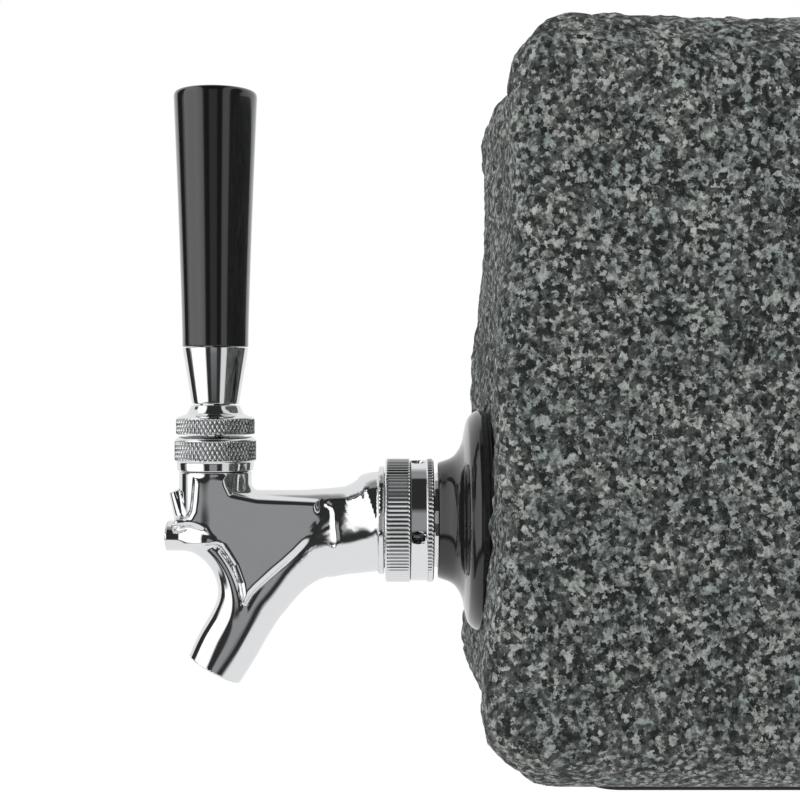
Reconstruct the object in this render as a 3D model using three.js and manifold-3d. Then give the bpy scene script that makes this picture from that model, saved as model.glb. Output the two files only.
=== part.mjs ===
// Beer tap tower: a chromed tap with a black grip on a block of rough granite.
// Millimetres, +Z up. The tap faces -Y. The origin is under the middle of the whole object.
// Threads are plain cylinders, because only their diameters matter to what fits them.

import * as THREE from 'three';
import { mergeVertices } from 'three/addons/utils/BufferGeometryUtils.js';
import Module from 'manifold-3d';

const wasm = await Module();
wasm.setup();

// ---- Driving dimensions ----

const FIT = 0.3; // clearance round anything that is screwed, pushed or laid in place
const RUN = 0.2; // clearance round anything that turns or slides
const ROUND = 24; // facets round a large turned piece
const SMALL_ROUND = 16; // facets round a small turned piece
const PAST = 2; // how far a cutter runs past the face that it opens

const stone = {
  width: 152,
  depth: 152,
  height: 210,
  sideRound: 9, // radius of the four upright edges
  edgeInset: 28, // how far the top and bottom edges are worn in
  edgeHeight: 23, // height of that wear
  taper: 0.1, // share of the plan that is lost from foot to top
  taperLevel: 0.3, // share of the height where the plan is nominal
  relief: 1.5, // height of the hewn waves
  coreRadius: 35,
  coreHeight: 153,
  seatDepth: 2, // depth of the ground seat under the flange
  seatMargin: 2,
  drillClearance: 0.9, // round the shank
};
const gasket = { thickness: 2, margin: 2, round: 8 };
const insert = { radius: 6, bore: 3.6, length: 20, pitch: 84, blind: 16 };
const shankHeight = 68; // shank axis above the stone's underside
const boltHoleRadius = 4.5;

const handle = {
  length: 77.8,
  topRadius: 12.75,
  bottomRadius: 10,
  bulge: 1.25, // power of the side's curve
  topRound: 1.6,
};
const ferrule = { length: 17.1, topRadius: 9.95, bottomRadius: 7.1, rim: 1.2, rimStep: 0.15 };
const studRadius = 4.76;
const handleInsert = { radius: 6.6, length: 20 };
const collar = {
  setIn: 0.47, // collar's rim inside the bonnet's
  edge: 0.6, // what the rim's lower corner is cut back by
  band: 5,
  chamfer: 0.7,
  shoulder: 8.7,
  shoulderRise: 1.4,
  neckRadius: 7.3,
  neckHeight: 4,
  neckStep: 1.5,
};
const ballRing = { width: 1.3, bite: 4.2, edge: 3.4, foot: 6.2 }; // heights from the ball's centre
const bonnet = { wall: 2.5, bandBottom: 3.1, bandStep: 0.4, height: 10.5, skirtSet: 0.7, chamfer: 1.3 };
const neck = { wall: 1.3, height: 5.1 }; // its bore follows the ball
const bossRise = 0.9; // boss top above the ball's centre
const lever = {
  ballRadius: 7,
  stemRadius: 2.8,
  stemLength: 15.6, // ball centre to the stud's foot
  studStep: 0.6,
  studChamfer: 1,
  rodRadius: 1.7,
  tipRadius: 2,
  tipReach: 14, // ball centre to the tip's centre, on the shaft's axis
  throwDegrees: 25,
};
const bossWall = 1.4; // boss round the neck
const boreRadius = 5.8; // chamber round the valve shaft
const tipRoom = 6.4; // room under the ball for the lever's swinging tip
const barrelRadius = 10.3;
const shaft = {
  radius: 2.6,
  headRadius: 4.4,
  headFront: 8.2, // head's reach in front of the handle's axis
  headBack: 5.5,
  discRadius: 4,
  discLength: 1.4,
  threadRadius: 2,
  headChamfer: 1,
  threadPast: 1, // thread that shows behind its nut
  leanFoot: 1.2, // where the hollow for the leaning rod starts above the axis
  leanSet: 1.6, // how far in front of the tip's hole it lies
};
const shankRadius = 11.1;
const seat = { at: 49, wall: 4.8 }; // valve seat, and the thread's wall round its pocket
const seatWasher = { clearance: 1.2, thickness: 2.2 };
const seatNut = { across: 8, thickness: 2.4 };
const thread = { overShank: 3.2, front: 51.8, back: 57 }; // tap's rear thread
const rearCollar = { overThread: 2.1, thickness: 1.6 };
const spout = { endRadius: 8.5, endBore: 6.6 };

const couplingNut = {
  wall: 4.45,
  length: 14.7,
  lip: 4.4,
  chamfer: 0.5,
  bandLength: 7.4, // coarse front band
  rim: 1.9, // fine rear band
  waist: 0.4, // what the stretch between them is turned down by
  holeRadius: 1.85,
  holeDepth: 3,
  holeAt: 9.8,
  holeTurn: 102, // degrees
};
const couplingWasher = { underThread: 1.8, width: 3.5, thickness: 1.5 };
const tailWasherThickness = 1.5;
const snapRing = { sunk: 0.9, proud: 2.3, thickness: 1.2, setBack: 1.5 };
const shank = {
  pocketWall: 2.1,
  pocketDepth: 7,
  collarHeight: 3.2,
  collarLength: 3.5,
  bore: 3.2,
  tailThread: 9.5, // thread left behind the lock nut, for the tail nut
};
const flange = {
  radius: 33.4,
  neckWall: 3.2,
  depth: 14.4,
  hollow: 4.2, // depth of the empty ring behind the rim
  skirt: 4,
  skirtLean: 1,
  sleeve: 11.5,
  sleeveWall: 4,
};
const flangeFlare = [[1.5, 0.28], [3.5, 0.42], [6.5, 0.52]]; // past the neck, share of the depth
const flangeRim = [[5.9, 0.57], [2.4, 0.64], [0.3, 0.8]]; // inside the rim, share of the depth
const flangeGasket = { thickness: 0.8, radius: 32.6 };
const saddle = { overShank: 3.9, thickness: 5.2 };
const lockNut = { wall: 4.9, thickness: 8 };
const tailNut = { wall: 2.4, length: 14.6, lip: 2.6 };
const tail = { flangeRadius: 9.5, flangeThickness: 2, radius: 5, bore: 2.4, bend: 9, run: 12 };
const barb = { radius: 4.9, root: 3.8, pitch: 5, count: 4 };

// ---- Sizes that follow from them ----

const neckBore = lever.ballRadius + ballRing.width;
const neckRadius = neckBore + neck.wall;
const bossRadius = neckRadius + bossWall;
const bonnetRadius = neckRadius + FIT + bonnet.wall;
const skirtRadius = bonnetRadius - bonnet.skirtSet;
const collarRadius = bonnetRadius - collar.setIn;
const threadRadius = shankRadius + thread.overShank;
const rearRadius = threadRadius + rearCollar.overThread;
const nutRadius = threadRadius + couplingNut.wall;
const seatRadius = threadRadius - seat.wall;
const seatWasherRadius = seatRadius - seatWasher.clearance;
const couplingWasherRadius = threadRadius - couplingWasher.underThread;
const shankCollarRadius = shankRadius + shank.collarHeight;
const flangeNeckRadius = shankCollarRadius + flange.neckWall;

// ---- Places that follow from them ----

const stoneFoot = gasket.thickness + FIT;
const shankZ = stoneFoot + shankHeight;
const seatY = -(stone.depth / 2 - stone.seatDepth); // ground seat on the stone's front
const shankCollarFront = thread.front + couplingNut.length + FIT;
const flangeBack = shankCollarFront + shank.collarLength + FIT + flange.sleeve;
const flangeFront = flangeBack - flange.depth;
const handleY = seatY - FIT / 2 - flangeGasket.thickness - FIT / 2 - flangeBack;
const ballZ = lever.tipReach;
const throwAngle = THREE.MathUtils.degToRad(lever.throwDegrees);
const neckTop = ballZ + bossRise + neck.height;
const bonnetFoot = ballZ + bossRise + RUN;
const bonnetTop = bonnetFoot + bonnet.height;
const sweep = Math.hypot(bonnetRadius, bonnetTop - bonnet.chamfer - ballZ) + 2 * RUN;
const collarFoot = ballZ + Math.sqrt(sweep ** 2 - (collarRadius - collar.edge) ** 2);
const collarTop = collarFoot + collar.band + collar.neckHeight;
const ferruleFoot = collarTop + FIT;
const handleFoot = ferruleFoot + ferrule.length + FIT;
const studFoot = ballZ + lever.stemLength;
const studTop = handleFoot + handleInsert.length;
const shankFront = thread.back + FIT + couplingWasher.thickness + FIT;
const coreFront = -handleY - stone.coreRadius; // core's front wall, behind the handle's axis
const saddleBack = coreFront + saddle.thickness;
const lockNutBack = saddleBack + FIT + lockNut.thickness;
const shankEnd = lockNutBack + shank.tailThread;
const tailFront = shankEnd + FIT + tailWasherThickness + FIT;
const tailFlangeBack = tailFront + tail.flangeThickness;
const tailNutBack = tailFlangeBack + FIT + tailNut.lip;

// ---- Finishes ----

function finish(color, roughness, metalness) {
  return new THREE.MeshStandardMaterial({ color, roughness, metalness });
}

const chrome = () => finish(0xd8dadc, 0.12, 1);
const brass = () => finish(0xb8933f, 0.35, 1);
const steel = () => finish(0xa9abad, 0.35, 1);
const blackPlastic = () => finish(0x121314, 0.35, 0);
const blackGloss = () => finish(0x08090a, 0.12, 0);
const rubber = () => finish(0x1a1a1a, 0.85, 0);
const nylon = () => finish(0xe6e1d2, 0.5, 0);
const granite = () => finish(0x4a5049, 0.75, 0);

// ---- Solids ----

// Turns a closed geometry into a solid whose faces point out.
function solid(geometry) {
  const bare = geometry.clone();
  bare.deleteAttribute('normal');
  bare.deleteAttribute('uv');
  const merged = mergeVertices(bare, 1e-4);
  const points = merged.attributes.position;
  const index = Array.from(merged.index.array);
  const a = new THREE.Vector3();
  const b = new THREE.Vector3();
  const c = new THREE.Vector3();
  const kept = [];
  let volume = 0;
  for (let i = 0; i < index.length; i += 3) {
    const [i0, i1, i2] = index.slice(i, i + 3);
    if (i0 === i1 || i1 === i2 || i2 === i0) continue;
    a.fromBufferAttribute(points, i0);
    b.fromBufferAttribute(points, i1);
    c.fromBufferAttribute(points, i2);
    volume += a.dot(b.cross(c));
    kept.push(i0, i1, i2);
  }
  if (volume < 0) kept.reverse();
  const mesh = new wasm.Mesh({
    numProp: 3,
    vertProperties: new Float32Array(points.array),
    triVerts: new Uint32Array(kept),
  });
  return new wasm.Manifold(mesh);
}

function geometryOf(body) {
  const mesh = body.getMesh();
  const geometry = new THREE.BufferGeometry();
  geometry.setAttribute('position', new THREE.BufferAttribute(mesh.vertProperties, 3));
  geometry.setIndex(new THREE.BufferAttribute(mesh.triVerts, 1));
  geometry.computeVertexNormals();
  return geometry;
}

// Turned about the Y axis from a closed profile of [radius, y] pairs.
function turned(profile, facets = ROUND) {
  const points = profile.map(([r, y]) => new THREE.Vector2(r, y));
  if (profile[0][0] > 0) points.push(points[0].clone());
  return new THREE.LatheGeometry(points, facets);
}

// The same about the Z axis, from [radius, z] pairs.
function upright(profile, facets = ROUND) {
  return turned(profile, facets).rotateX(Math.PI / 2);
}

// A plain rod along Y or Z, between two places on that axis.
function rodY(radius, from, to, facets = ROUND) {
  return turned([[0, from], [radius, from], [radius, to], [0, to]], facets);
}

function rodZ(radius, from, to, facets = ROUND) {
  return upright([[0, from], [radius, from], [radius, to], [0, to]], facets);
}

// A washer about Y, and one about Z.
function ringY(inner, outer, from, to, facets = SMALL_ROUND) {
  return turned([[inner, from], [outer, from], [outer, to], [inner, to]], facets);
}

// A hexagonal nut about Y: two flats lie on the sides.
function hexNut(across, bore, from, to) {
  const corner = across / Math.sqrt(3);
  const outline = new THREE.Shape();
  for (let i = 0; i < 6; i += 1) {
    const angle = (i + 0.5) * Math.PI / 3;
    const point = [corner * Math.cos(angle), corner * Math.sin(angle)];
    if (i === 0) outline.moveTo(...point);
    else outline.lineTo(...point);
  }
  outline.closePath();
  const hole = new THREE.Path();
  hole.absarc(0, 0, bore, 0, 2 * Math.PI, true);
  outline.holes.push(hole);
  const settings = { depth: to - from, bevelEnabled: false, curveSegments: 12 };
  const geometry = new THREE.ExtrudeGeometry(outline, settings);
  return geometry.rotateX(-Math.PI / 2).translate(0, from, 0);
}

// A solid in the plane x = 0 with the outline's [y, z] points, as thick as given.
function plate(points, halfThickness) {
  const outline = new THREE.Shape(points.map(([y, z]) => new THREE.Vector2(y, z)));
  const settings = { depth: 2 * halfThickness, bevelEnabled: false };
  const geometry = new THREE.ExtrudeGeometry(outline, settings);
  const toSide = new THREE.Matrix4().makeBasis(
    new THREE.Vector3(0, 1, 0),
    new THREE.Vector3(0, 0, 1),
    new THREE.Vector3(1, 0, 0),
  );
  return geometry.applyMatrix4(toSide).translate(-halfThickness, 0, 0);
}

// A pipe through stations [y, z, height radius, width radius]: a cylinder whose rings
// are moved on to a smooth curve through the stations, square to it.
function pipe(stations, facets, rings) {
  const path = new THREE.CatmullRomCurve3(stations.map(([y, z]) => new THREE.Vector3(0, y, z)));
  const radii = new THREE.CatmullRomCurve3(stations.map((s) => new THREE.Vector3(s[2], s[3], 0)));
  const geometry = new THREE.CylinderGeometry(1, 1, 1, facets, rings);
  const points = geometry.attributes.position;
  for (let i = 0; i < points.count; i += 1) {
    const t = THREE.MathUtils.clamp(points.getY(i) + 0.5, 0, 1);
    const centre = path.getPoint(t);
    const ahead = path.getTangent(t);
    const size = radii.getPoint(t);
    const side = points.getX(i) * size.y;
    const rise = points.getZ(i) * size.x;
    points.setXYZ(i, side, centre.y - ahead.z * rise, centre.z + ahead.y * rise);
  }
  return geometry;
}

function joined(...geometries) {
  return geometries.map(solid).reduce((whole, next) => whole.add(next));
}

function cut(body, ...geometries) {
  return geometries.map(solid).reduce((whole, next) => whole.subtract(next), body);
}

const root = new THREE.Group();
const tap = new THREE.Group();
tap.position.set(0, handleY, shankZ);
root.add(tap);

function place(parent, name, geometry, material) {
  const mesh = new THREE.Mesh(geometryOf(solid(geometry)), material);
  mesh.name = name;
  parent.add(mesh);
  return mesh;
}

function placeSolid(parent, name, body, material) {
  const mesh = new THREE.Mesh(geometryOf(body), material);
  mesh.name = name;
  parent.add(mesh);
  return mesh;
}

// ---- Stone ----

// The block's outer surface: a box whose upright edges are rounded, whose top and bottom
// edges are worn to an ellipse, whose plan shrinks towards the top, and whose faces carry
// long shallow waves. The underside stays flat.
function hewnBlock() {
  const halfX = stone.width / 2;
  const halfY = stone.depth / 2;
  const halfZ = stone.height / 2;
  const { width, depth, height, sideRound, edgeInset, edgeHeight } = stone;
  const geometry = new THREE.BoxGeometry(width, depth, height, 10, 10, 14);
  const points = geometry.attributes.position;
  for (let i = 0; i < points.count; i += 1) {
    let x = points.getX(i);
    let y = points.getY(i);
    let z = points.getZ(i);
    const inside = Math.min(halfX - Math.abs(x), halfY - Math.abs(y));
    const overX = Math.max(Math.abs(x) - (halfX - sideRound), 0);
    const overY = Math.max(Math.abs(y) - (halfY - sideRound), 0);
    if (overX > 0 && overY > 0) {
      const shrink = Math.max(overX, overY) / Math.hypot(overX, overY);
      x -= Math.sign(x) * overX * (1 - shrink);
      y -= Math.sign(y) * overY * (1 - shrink);
    }
    const fromEnd = halfZ - Math.abs(z);
    if (inside < edgeInset && fromEnd < edgeHeight) {
      const across = (edgeInset - inside) / edgeInset;
      const along = (edgeHeight - fromEnd) / edgeHeight;
      const reach = Math.hypot(across, along);
      const newInside = edgeInset * (1 - across / reach);
      const plan = Math.max(Math.abs(x), Math.abs(y));
      const scale = (plan - (newInside - inside)) / plan;
      x *= scale;
      y *= scale;
      z = Math.sign(z) * (halfZ - edgeHeight * (1 - along / reach));
    }
    const level = (z + halfZ) / height;
    const plan = 1 - stone.taper * (level - stone.taperLevel);
    const outward = new THREE.Vector3(x / halfX, y / halfY, z / halfZ);
    outward.set(outward.x ** 9, outward.y ** 9, outward.z ** 9).normalize();
    const wave = stone.relief * (
      Math.sin(x / 21 + z / 34 + 0.6) * Math.sin(y / 25 - z / 29 + 1.1)
      + 0.6 * Math.sin(z / 13 + y / 31) * Math.cos(x / 17 - 0.4)
    );
    const rise = level > 0 ? Math.min(level * 12, 1) : 0;
    x = x * plan + outward.x * wave * rise;
    y = y * plan + outward.y * wave * rise;
    z += outward.z * wave * rise;
    points.setXYZ(i, x, y, Math.max(z, -halfZ));
  }
  geometry.computeBoundingBox();
  const middle = geometry.boundingBox.getCenter(new THREE.Vector3());
  return geometry.translate(-middle.x, 0, halfZ + stoneFoot);
}

function insertPlaces() {
  const half = insert.pitch / 2;
  return [[-half, -half], [half, -half], [half, half], [-half, half]];
}

function makeStone() {
  const core = rodZ(stone.coreRadius, stoneFoot - PAST, stoneFoot + stone.coreHeight, 32);
  const drilling = rodY(shankRadius + stone.drillClearance, -stone.depth, 0, ROUND).translate(0, 0, shankZ);
  const ground = rodY(flange.radius + stone.seatMargin, -stone.depth, seatY, ROUND).translate(0, 0, shankZ);
  const sockets = insertPlaces().map(([x, y]) => rodZ(
    insert.radius + FIT,
    stoneFoot - PAST,
    stoneFoot + insert.length + FIT,
    SMALL_ROUND,
  ).translate(x, y, 0));
  placeSolid(
    root,
    'stone_block',
    cut(solid(hewnBlock()), core, drilling, ground, ...sockets),
    granite(),
  );
}

function makeBase() {
  const footHalf = stone.width / 2 * (1 + stone.taper * stone.taperLevel) - stone.edgeInset;
  const half = footHalf - gasket.margin;
  const sheet = new THREE.Shape();
  const inner = half - gasket.round;
  sheet.moveTo(half, -inner);
  sheet.absarc(inner, inner, gasket.round, 0, Math.PI / 2, false);
  sheet.absarc(-inner, inner, gasket.round, Math.PI / 2, Math.PI, false);
  sheet.absarc(-inner, -inner, gasket.round, Math.PI, 1.5 * Math.PI, false);
  sheet.absarc(inner, -inner, gasket.round, 1.5 * Math.PI, 2 * Math.PI, false);
  const holes = [[0, 0, stone.coreRadius]];
  insertPlaces().forEach(([x, y]) => holes.push([x, y, boltHoleRadius]));
  holes.forEach(([x, y, radius]) => {
    const hole = new THREE.Path();
    hole.absarc(x, y, radius, 0, 2 * Math.PI, true);
    sheet.holes.push(hole);
  });
  const settings = { depth: gasket.thickness, bevelEnabled: false, curveSegments: 8 };
  place(root, 'base_gasket', new THREE.ExtrudeGeometry(sheet, settings), rubber());
  insertPlaces().forEach(([x, y], i) => {
    const top = stoneFoot + insert.length;
    const bush = upright([
      [insert.bore, stoneFoot],
      [insert.radius, stoneFoot],
      [insert.radius, top],
      [0, top],
      [0, stoneFoot + insert.blind],
      [insert.bore, stoneFoot + insert.blind],
    ], SMALL_ROUND);
    place(root, `base_insert_${i + 1}`, bush.translate(x, y, 0), brass());
  });
}

// ---- Handle and lever ----

function makeHandle() {
  const steps = 7;
  const top = handleFoot + handle.length;
  const spread = handle.topRadius - handle.bottomRadius;
  const bore = handleInsert.radius + FIT;
  const boreTop = handleFoot + FIT + handleInsert.length + FIT;
  const profile = [[bore, handleFoot], [handle.bottomRadius, handleFoot]];
  for (let i = 1; i < steps; i += 1) {
    const t = i / steps;
    const height = t * (handle.length - handle.topRound);
    profile.push([handle.bottomRadius + spread * t ** handle.bulge, handleFoot + height]);
  }
  for (let i = 0; i <= 3; i += 1) {
    const angle = i * Math.PI / 6;
    profile.push([
      handle.topRadius - handle.topRound * (1 - Math.cos(angle)),
      top - handle.topRound * (1 - Math.sin(angle)),
    ]);
  }
  profile.push([0, top], [0, boreTop], [bore, boreTop]);
  place(tap, 'handle_grip', upright(profile), blackPlastic());

  const clear = studRadius + FIT;
  const bushFoot = handleFoot + FIT;
  const bushTop = bushFoot + handleInsert.length;
  const bush = upright([
    [clear, bushFoot],
    [handleInsert.radius, bushFoot],
    [handleInsert.radius, bushTop],
    [clear, bushTop],
  ], SMALL_ROUND);
  place(tap, 'handle_insert', bush, brass());

  const cone = upright([
    [clear, ferruleFoot],
    [ferrule.bottomRadius, ferruleFoot],
    [ferrule.topRadius - ferrule.rimStep, ferruleFoot + ferrule.length - ferrule.rim],
    [ferrule.topRadius, ferruleFoot + ferrule.length],
    [clear, ferruleFoot + ferrule.length],
  ]);
  place(tap, 'handle_ferrule', cone, chrome());
}

// The collar's underside is part of a sphere about the ball's centre, so it clears the
// bonnet at every angle of the handle.
function makeCollar() {
  const clear = studRadius + FIT;
  const bandTop = collarFoot + collar.band;
  const profile = [
    [clear, collarTop],
    [collar.neckRadius, collarTop],
    [(collar.neckRadius + collar.shoulder) / 2, collarTop - collar.neckStep],
    [collar.shoulder, bandTop + collar.shoulderRise],
    [collarRadius - collar.chamfer, bandTop + collar.chamfer / 2],
    [collarRadius, bandTop],
    [collarRadius, collarFoot],
  ];
  const rim = Math.sqrt(sweep ** 2 - (collarFoot - ballZ) ** 2);
  const steps = 5;
  for (let i = 0; i <= steps; i += 1) {
    const r = rim + (clear - rim) * i / steps;
    profile.push([r, ballZ + Math.sqrt(sweep ** 2 - r ** 2)]);
  }
  place(tap, 'jam_collar', upright(profile), chrome());
}

function makeLever() {
  const { ballRadius, stemRadius, rodRadius, tipRadius, tipReach, studStep, studChamfer } = lever;
  const profile = [[0, ballZ - tipReach - tipRadius]];
  const tipZ = ballZ - tipReach;
  for (let i = 1; i <= 3; i += 1) {
    const angle = i * Math.PI / 5;
    profile.push([tipRadius * Math.sin(angle), tipZ - tipRadius * Math.cos(angle)]);
  }
  profile.push([rodRadius, tipZ + tipRadius * 0.7]);
  const start = Math.asin(rodRadius / ballRadius);
  const end = Math.PI - Math.asin(stemRadius / ballRadius);
  const steps = 9;
  for (let i = 0; i <= steps; i += 1) {
    const angle = start + (end - start) * i / steps;
    profile.push([ballRadius * Math.sin(angle), ballZ - ballRadius * Math.cos(angle)]);
  }
  profile.push(
    [stemRadius, studFoot - studStep],
    [studRadius, studFoot],
    [studRadius, studTop - studChamfer],
    [studRadius - studChamfer, studTop],
    [0, studTop],
  );
  place(tap, 'lever', upright(profile, 16), chrome());
}

// The bonnet's mouth is a cone that the stem can lean into. A nylon ring above the ball
// and a rubber ring under it hold the ball by its own radius and a running clearance.
function makeBonnet() {
  const lean = (rise) => rise * Math.tan(throwAngle) + lever.stemRadius / Math.cos(throwAngle);
  const lipFoot = neckTop + 2 * FIT;
  const threadClear = neckRadius + FIT;
  const shell = upright([
    [threadClear, bonnetFoot],
    [skirtRadius, bonnetFoot],
    [skirtRadius, bonnetFoot + bonnet.bandBottom - bonnet.bandStep],
    [bonnetRadius, bonnetFoot + bonnet.bandBottom],
    [bonnetRadius, bonnetTop - bonnet.chamfer],
    [bonnetRadius - bonnet.chamfer, bonnetTop],
    [lean(bonnetTop - ballZ) + 2 * RUN, bonnetTop],
    [lean(lipFoot - ballZ) + 2 * RUN, lipFoot],
    [threadClear, lipFoot],
  ]);
  place(tap, 'bonnet', shell, chrome());

  const grip = lever.ballRadius + RUN;
  const outer = neckBore - RUN;
  const onBall = (z) => Math.sqrt(grip ** 2 - z ** 2);
  const ringTop = neckTop + RUN;
  const nylonRing = upright([
    [onBall(ballRing.edge), ballZ + ballRing.edge],
    [outer, ballZ + ballRing.edge],
    [outer, ringTop],
    [lean(ringTop - ballZ) + RUN, ringTop],
    [onBall(ballRing.bite), ballZ + ballRing.bite],
  ], 24);
  place(tap, 'friction_ring', nylonRing, nylon());

  const rubberRing = upright([
    [onBall(ballRing.bite), ballZ - ballRing.bite],
    [onBall(ballRing.bite) - FIT, ballZ - ballRing.foot],
    [outer, ballZ - ballRing.foot],
    [outer, ballZ - ballRing.edge],
    [onBall(ballRing.edge), ballZ - ballRing.edge],
  ], 24);
  place(tap, 'ball_washer', rubberRing, rubber());
}

// ---- Tap body ----

// One casting: boss under the handle, barrel to the rear, flat side panel, nose with a
// vent stub, and a spout that leaves the barrel downwards and forwards.
function makeFaucetBody() {
  const boss = rodZ(bossRadius, -3, ballZ + bossRise);
  const neckRod = rodZ(neckRadius, ballZ - 2, neckTop);
  const barrel = rodY(barrelRadius, 0, 42, 24).translate(0, 0, -1);
  const rear = rodY(threadRadius, 45, thread.back);
  const disc = rodY(rearRadius, thread.front - FIT - rearCollar.thickness, thread.front - FIT);
  const bell = pipe([
    [50, -0.7, 15.6, 15.6],
    [48, -0.75, 15.2, 15.2],
    [43, -2.4, 13.6, 13.6],
    [36.5, -4, 13.2, 12.2],
    [28, -7.2, 12.4, 10.2],
    [19.6, -13.6, 11.2, 9.6],
    [12.8, -22, 10.4, 9.2],
    [7.7, -31.4, 9.5, 9],
    [4.4, -37.3, 9, 9],
    [0, -45.4, spout.endRadius, spout.endRadius],
  ], 24, 16);
  const panel = plate([
    [-5.3, 13.6],
    [4.6, 14],
    [6.3, 8.8],
    [13.6, 7.4],
    [31.6, 6.4],
    [33.6, -3.7],
    [19.4, -14.6],
    [11.8, -21.7],
    [9.6, -24.2],
    [8.4, -18.3],
    [4.5, -9.8],
    [-2.5, -2.6],
    [-12.2, -1.2],
    [-8.6, 1.4],
    [-5.9, 5],
  ], 10.8);
  const nose = pipe([
    [-14.4, -3.6, 5.6, 5],
    [-8, -3.8, 5.4, 5.4],
    [2, -7, 6, 6.5],
    [9, -16, 7, 8],
  ], 16, 6);
  const vent = pipe([
    [-12.7, 9.3, 2.4, 2.4],
    [-9.6, 3.5, 2.6, 2.8],
    [-8, -0.6, 3, 3.2],
  ], 12, 2);

  const chamber = rodY(boreRadius, -2, seat.at + PAST, 24);
  const guide = rodY(shaft.headRadius + RUN, -shaft.headFront - FIT, 0, 24);
  const pocket = rodY(seatRadius, seat.at, thread.back + PAST, 24);
  const socket = rodZ(neckBore, ballZ - ballRing.foot - FIT, neckTop + PAST, 24);
  const throat = rodZ(tipRoom, 0, ballZ, 24);
  const outlet = pipe([
    [-1.1, -47.4, 6.6, 6.6],
    [0, -45.4, spout.endBore, spout.endBore],
    [4.4, -37.3, 6.5, 6.5],
    [7.7, -31.4, 6.4, 6.4],
    [12.8, -22, 6.1, 6.1],
    [18.6, -13.6, 5.6, 5.6],
    [24, -6, 5.2, 5.2],
    [27, 0, 4.8, 4.8],
  ], 16, 14);
  const airWay = pipe([
    [-13.7, 11.2, 1.2, 1.2],
    [-11.4, 6.6, 1.2, 1.2],
    [-11, -3, 1.2, 1.2],
    [-5, -6.7, 1.2, 1.2],
    [4, -15, 1.2, 1.2],
    [9, -24, 1.2, 1.2],
  ], 8, 10);
  const whole = joined(boss, neckRod, barrel, rear, disc, bell, panel, nose, vent);
  const hollow = cut(whole, chamber, guide, pocket, socket, throat, outlet, airWay);
  placeSolid(tap, 'faucet_body', hollow, chrome());
}

// ---- Valve ----

function makeValve() {
  const disc = seat.at - RUN;
  const threadEnd = disc + RUN + seatWasher.thickness + FIT + seatNut.thickness + shaft.threadPast;
  const rod = turned([
    [0, -shaft.headFront],
    [shaft.headRadius, -shaft.headFront],
    [shaft.headRadius, shaft.headBack],
    [shaft.radius, shaft.headBack + shaft.headChamfer],
    [shaft.radius, disc - shaft.discLength],
    [shaft.discRadius, disc - shaft.discLength],
    [shaft.discRadius, disc],
    [shaft.threadRadius, disc],
    [shaft.threadRadius, threadEnd],
    [0, threadEnd],
  ], 24);
  // The tip's hole, and the hollow in front of it that the leaning rod needs.
  const hole = rodZ(lever.tipRadius + FIT, -PAST - shaft.headRadius, shaft.headRadius + PAST, 16);
  const lean = rodZ(lever.tipRadius + FIT, shaft.leanFoot, shaft.headRadius + PAST, 16)
    .translate(0, -shaft.leanSet, 0);
  placeSolid(tap, 'valve_shaft', cut(solid(rod), hole, lean), steel());

  const bore = shaft.threadRadius + FIT;
  const washerFront = disc + RUN * 2;
  const washerBack = washerFront + seatWasher.thickness;
  const washer = ringY(bore, seatWasherRadius, washerFront, washerBack, 24);
  place(tap, 'seat_washer', washer, rubber());
  const nutFront = washerBack + RUN;
  const nut = hexNut(seatNut.across, bore, nutFront, nutFront + seatNut.thickness);
  place(tap, 'seat_nut', nut, brass());
}

// ---- Coupling and shank ----

function makeCoupling() {
  const { length, lip, chamfer, bandLength, rim, waist, holeRadius, holeDepth } = couplingNut;
  const { front } = thread;
  const radius = nutRadius;
  const back = front + length;
  const threadClear = threadRadius + FIT;
  const lipClear = shankRadius + FIT;
  const nut = turned([
    [threadClear, front],
    [radius - chamfer, front],
    [radius, front + chamfer],
    [radius, front + bandLength],
    [radius - waist, front + bandLength + waist],
    [radius - waist, back - rim - waist],
    [radius, back - rim],
    [radius, back - waist],
    [radius - waist, back],
    [lipClear, back],
    [lipClear, back - lip],
    [threadClear, back - lip],
  ], 28);
  // Four holes take the pins of a hook spanner.
  const holes = [0, 1, 2, 3].map((i) => {
    const pin = rodZ(holeRadius, radius - holeDepth, radius + PAST, 12);
    const angle = Math.PI / 2 * i + THREE.MathUtils.degToRad(couplingNut.holeTurn);
    const turn = new THREE.Matrix4().makeRotationY(angle);
    return pin.applyMatrix4(turn).translate(0, front + couplingNut.holeAt, 0);
  });
  placeSolid(tap, 'coupling_nut', cut(solid(nut), ...holes), chrome());

  const washerFront = thread.back + FIT;
  const washerBack = washerFront + couplingWasher.thickness;
  const washer = ringY(
    couplingWasherRadius - couplingWasher.width,
    couplingWasherRadius,
    washerFront,
    washerBack,
    24,
  );
  place(tap, 'coupling_washer', washer, rubber());

  const ringFront = shankFront + snapRing.setBack;
  const ring = ringY(
    shankRadius - snapRing.sunk,
    shankRadius + snapRing.proud,
    ringFront,
    ringFront + snapRing.thickness,
    24,
  );
  place(tap, 'snap_ring', ring, steel());
}

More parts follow.
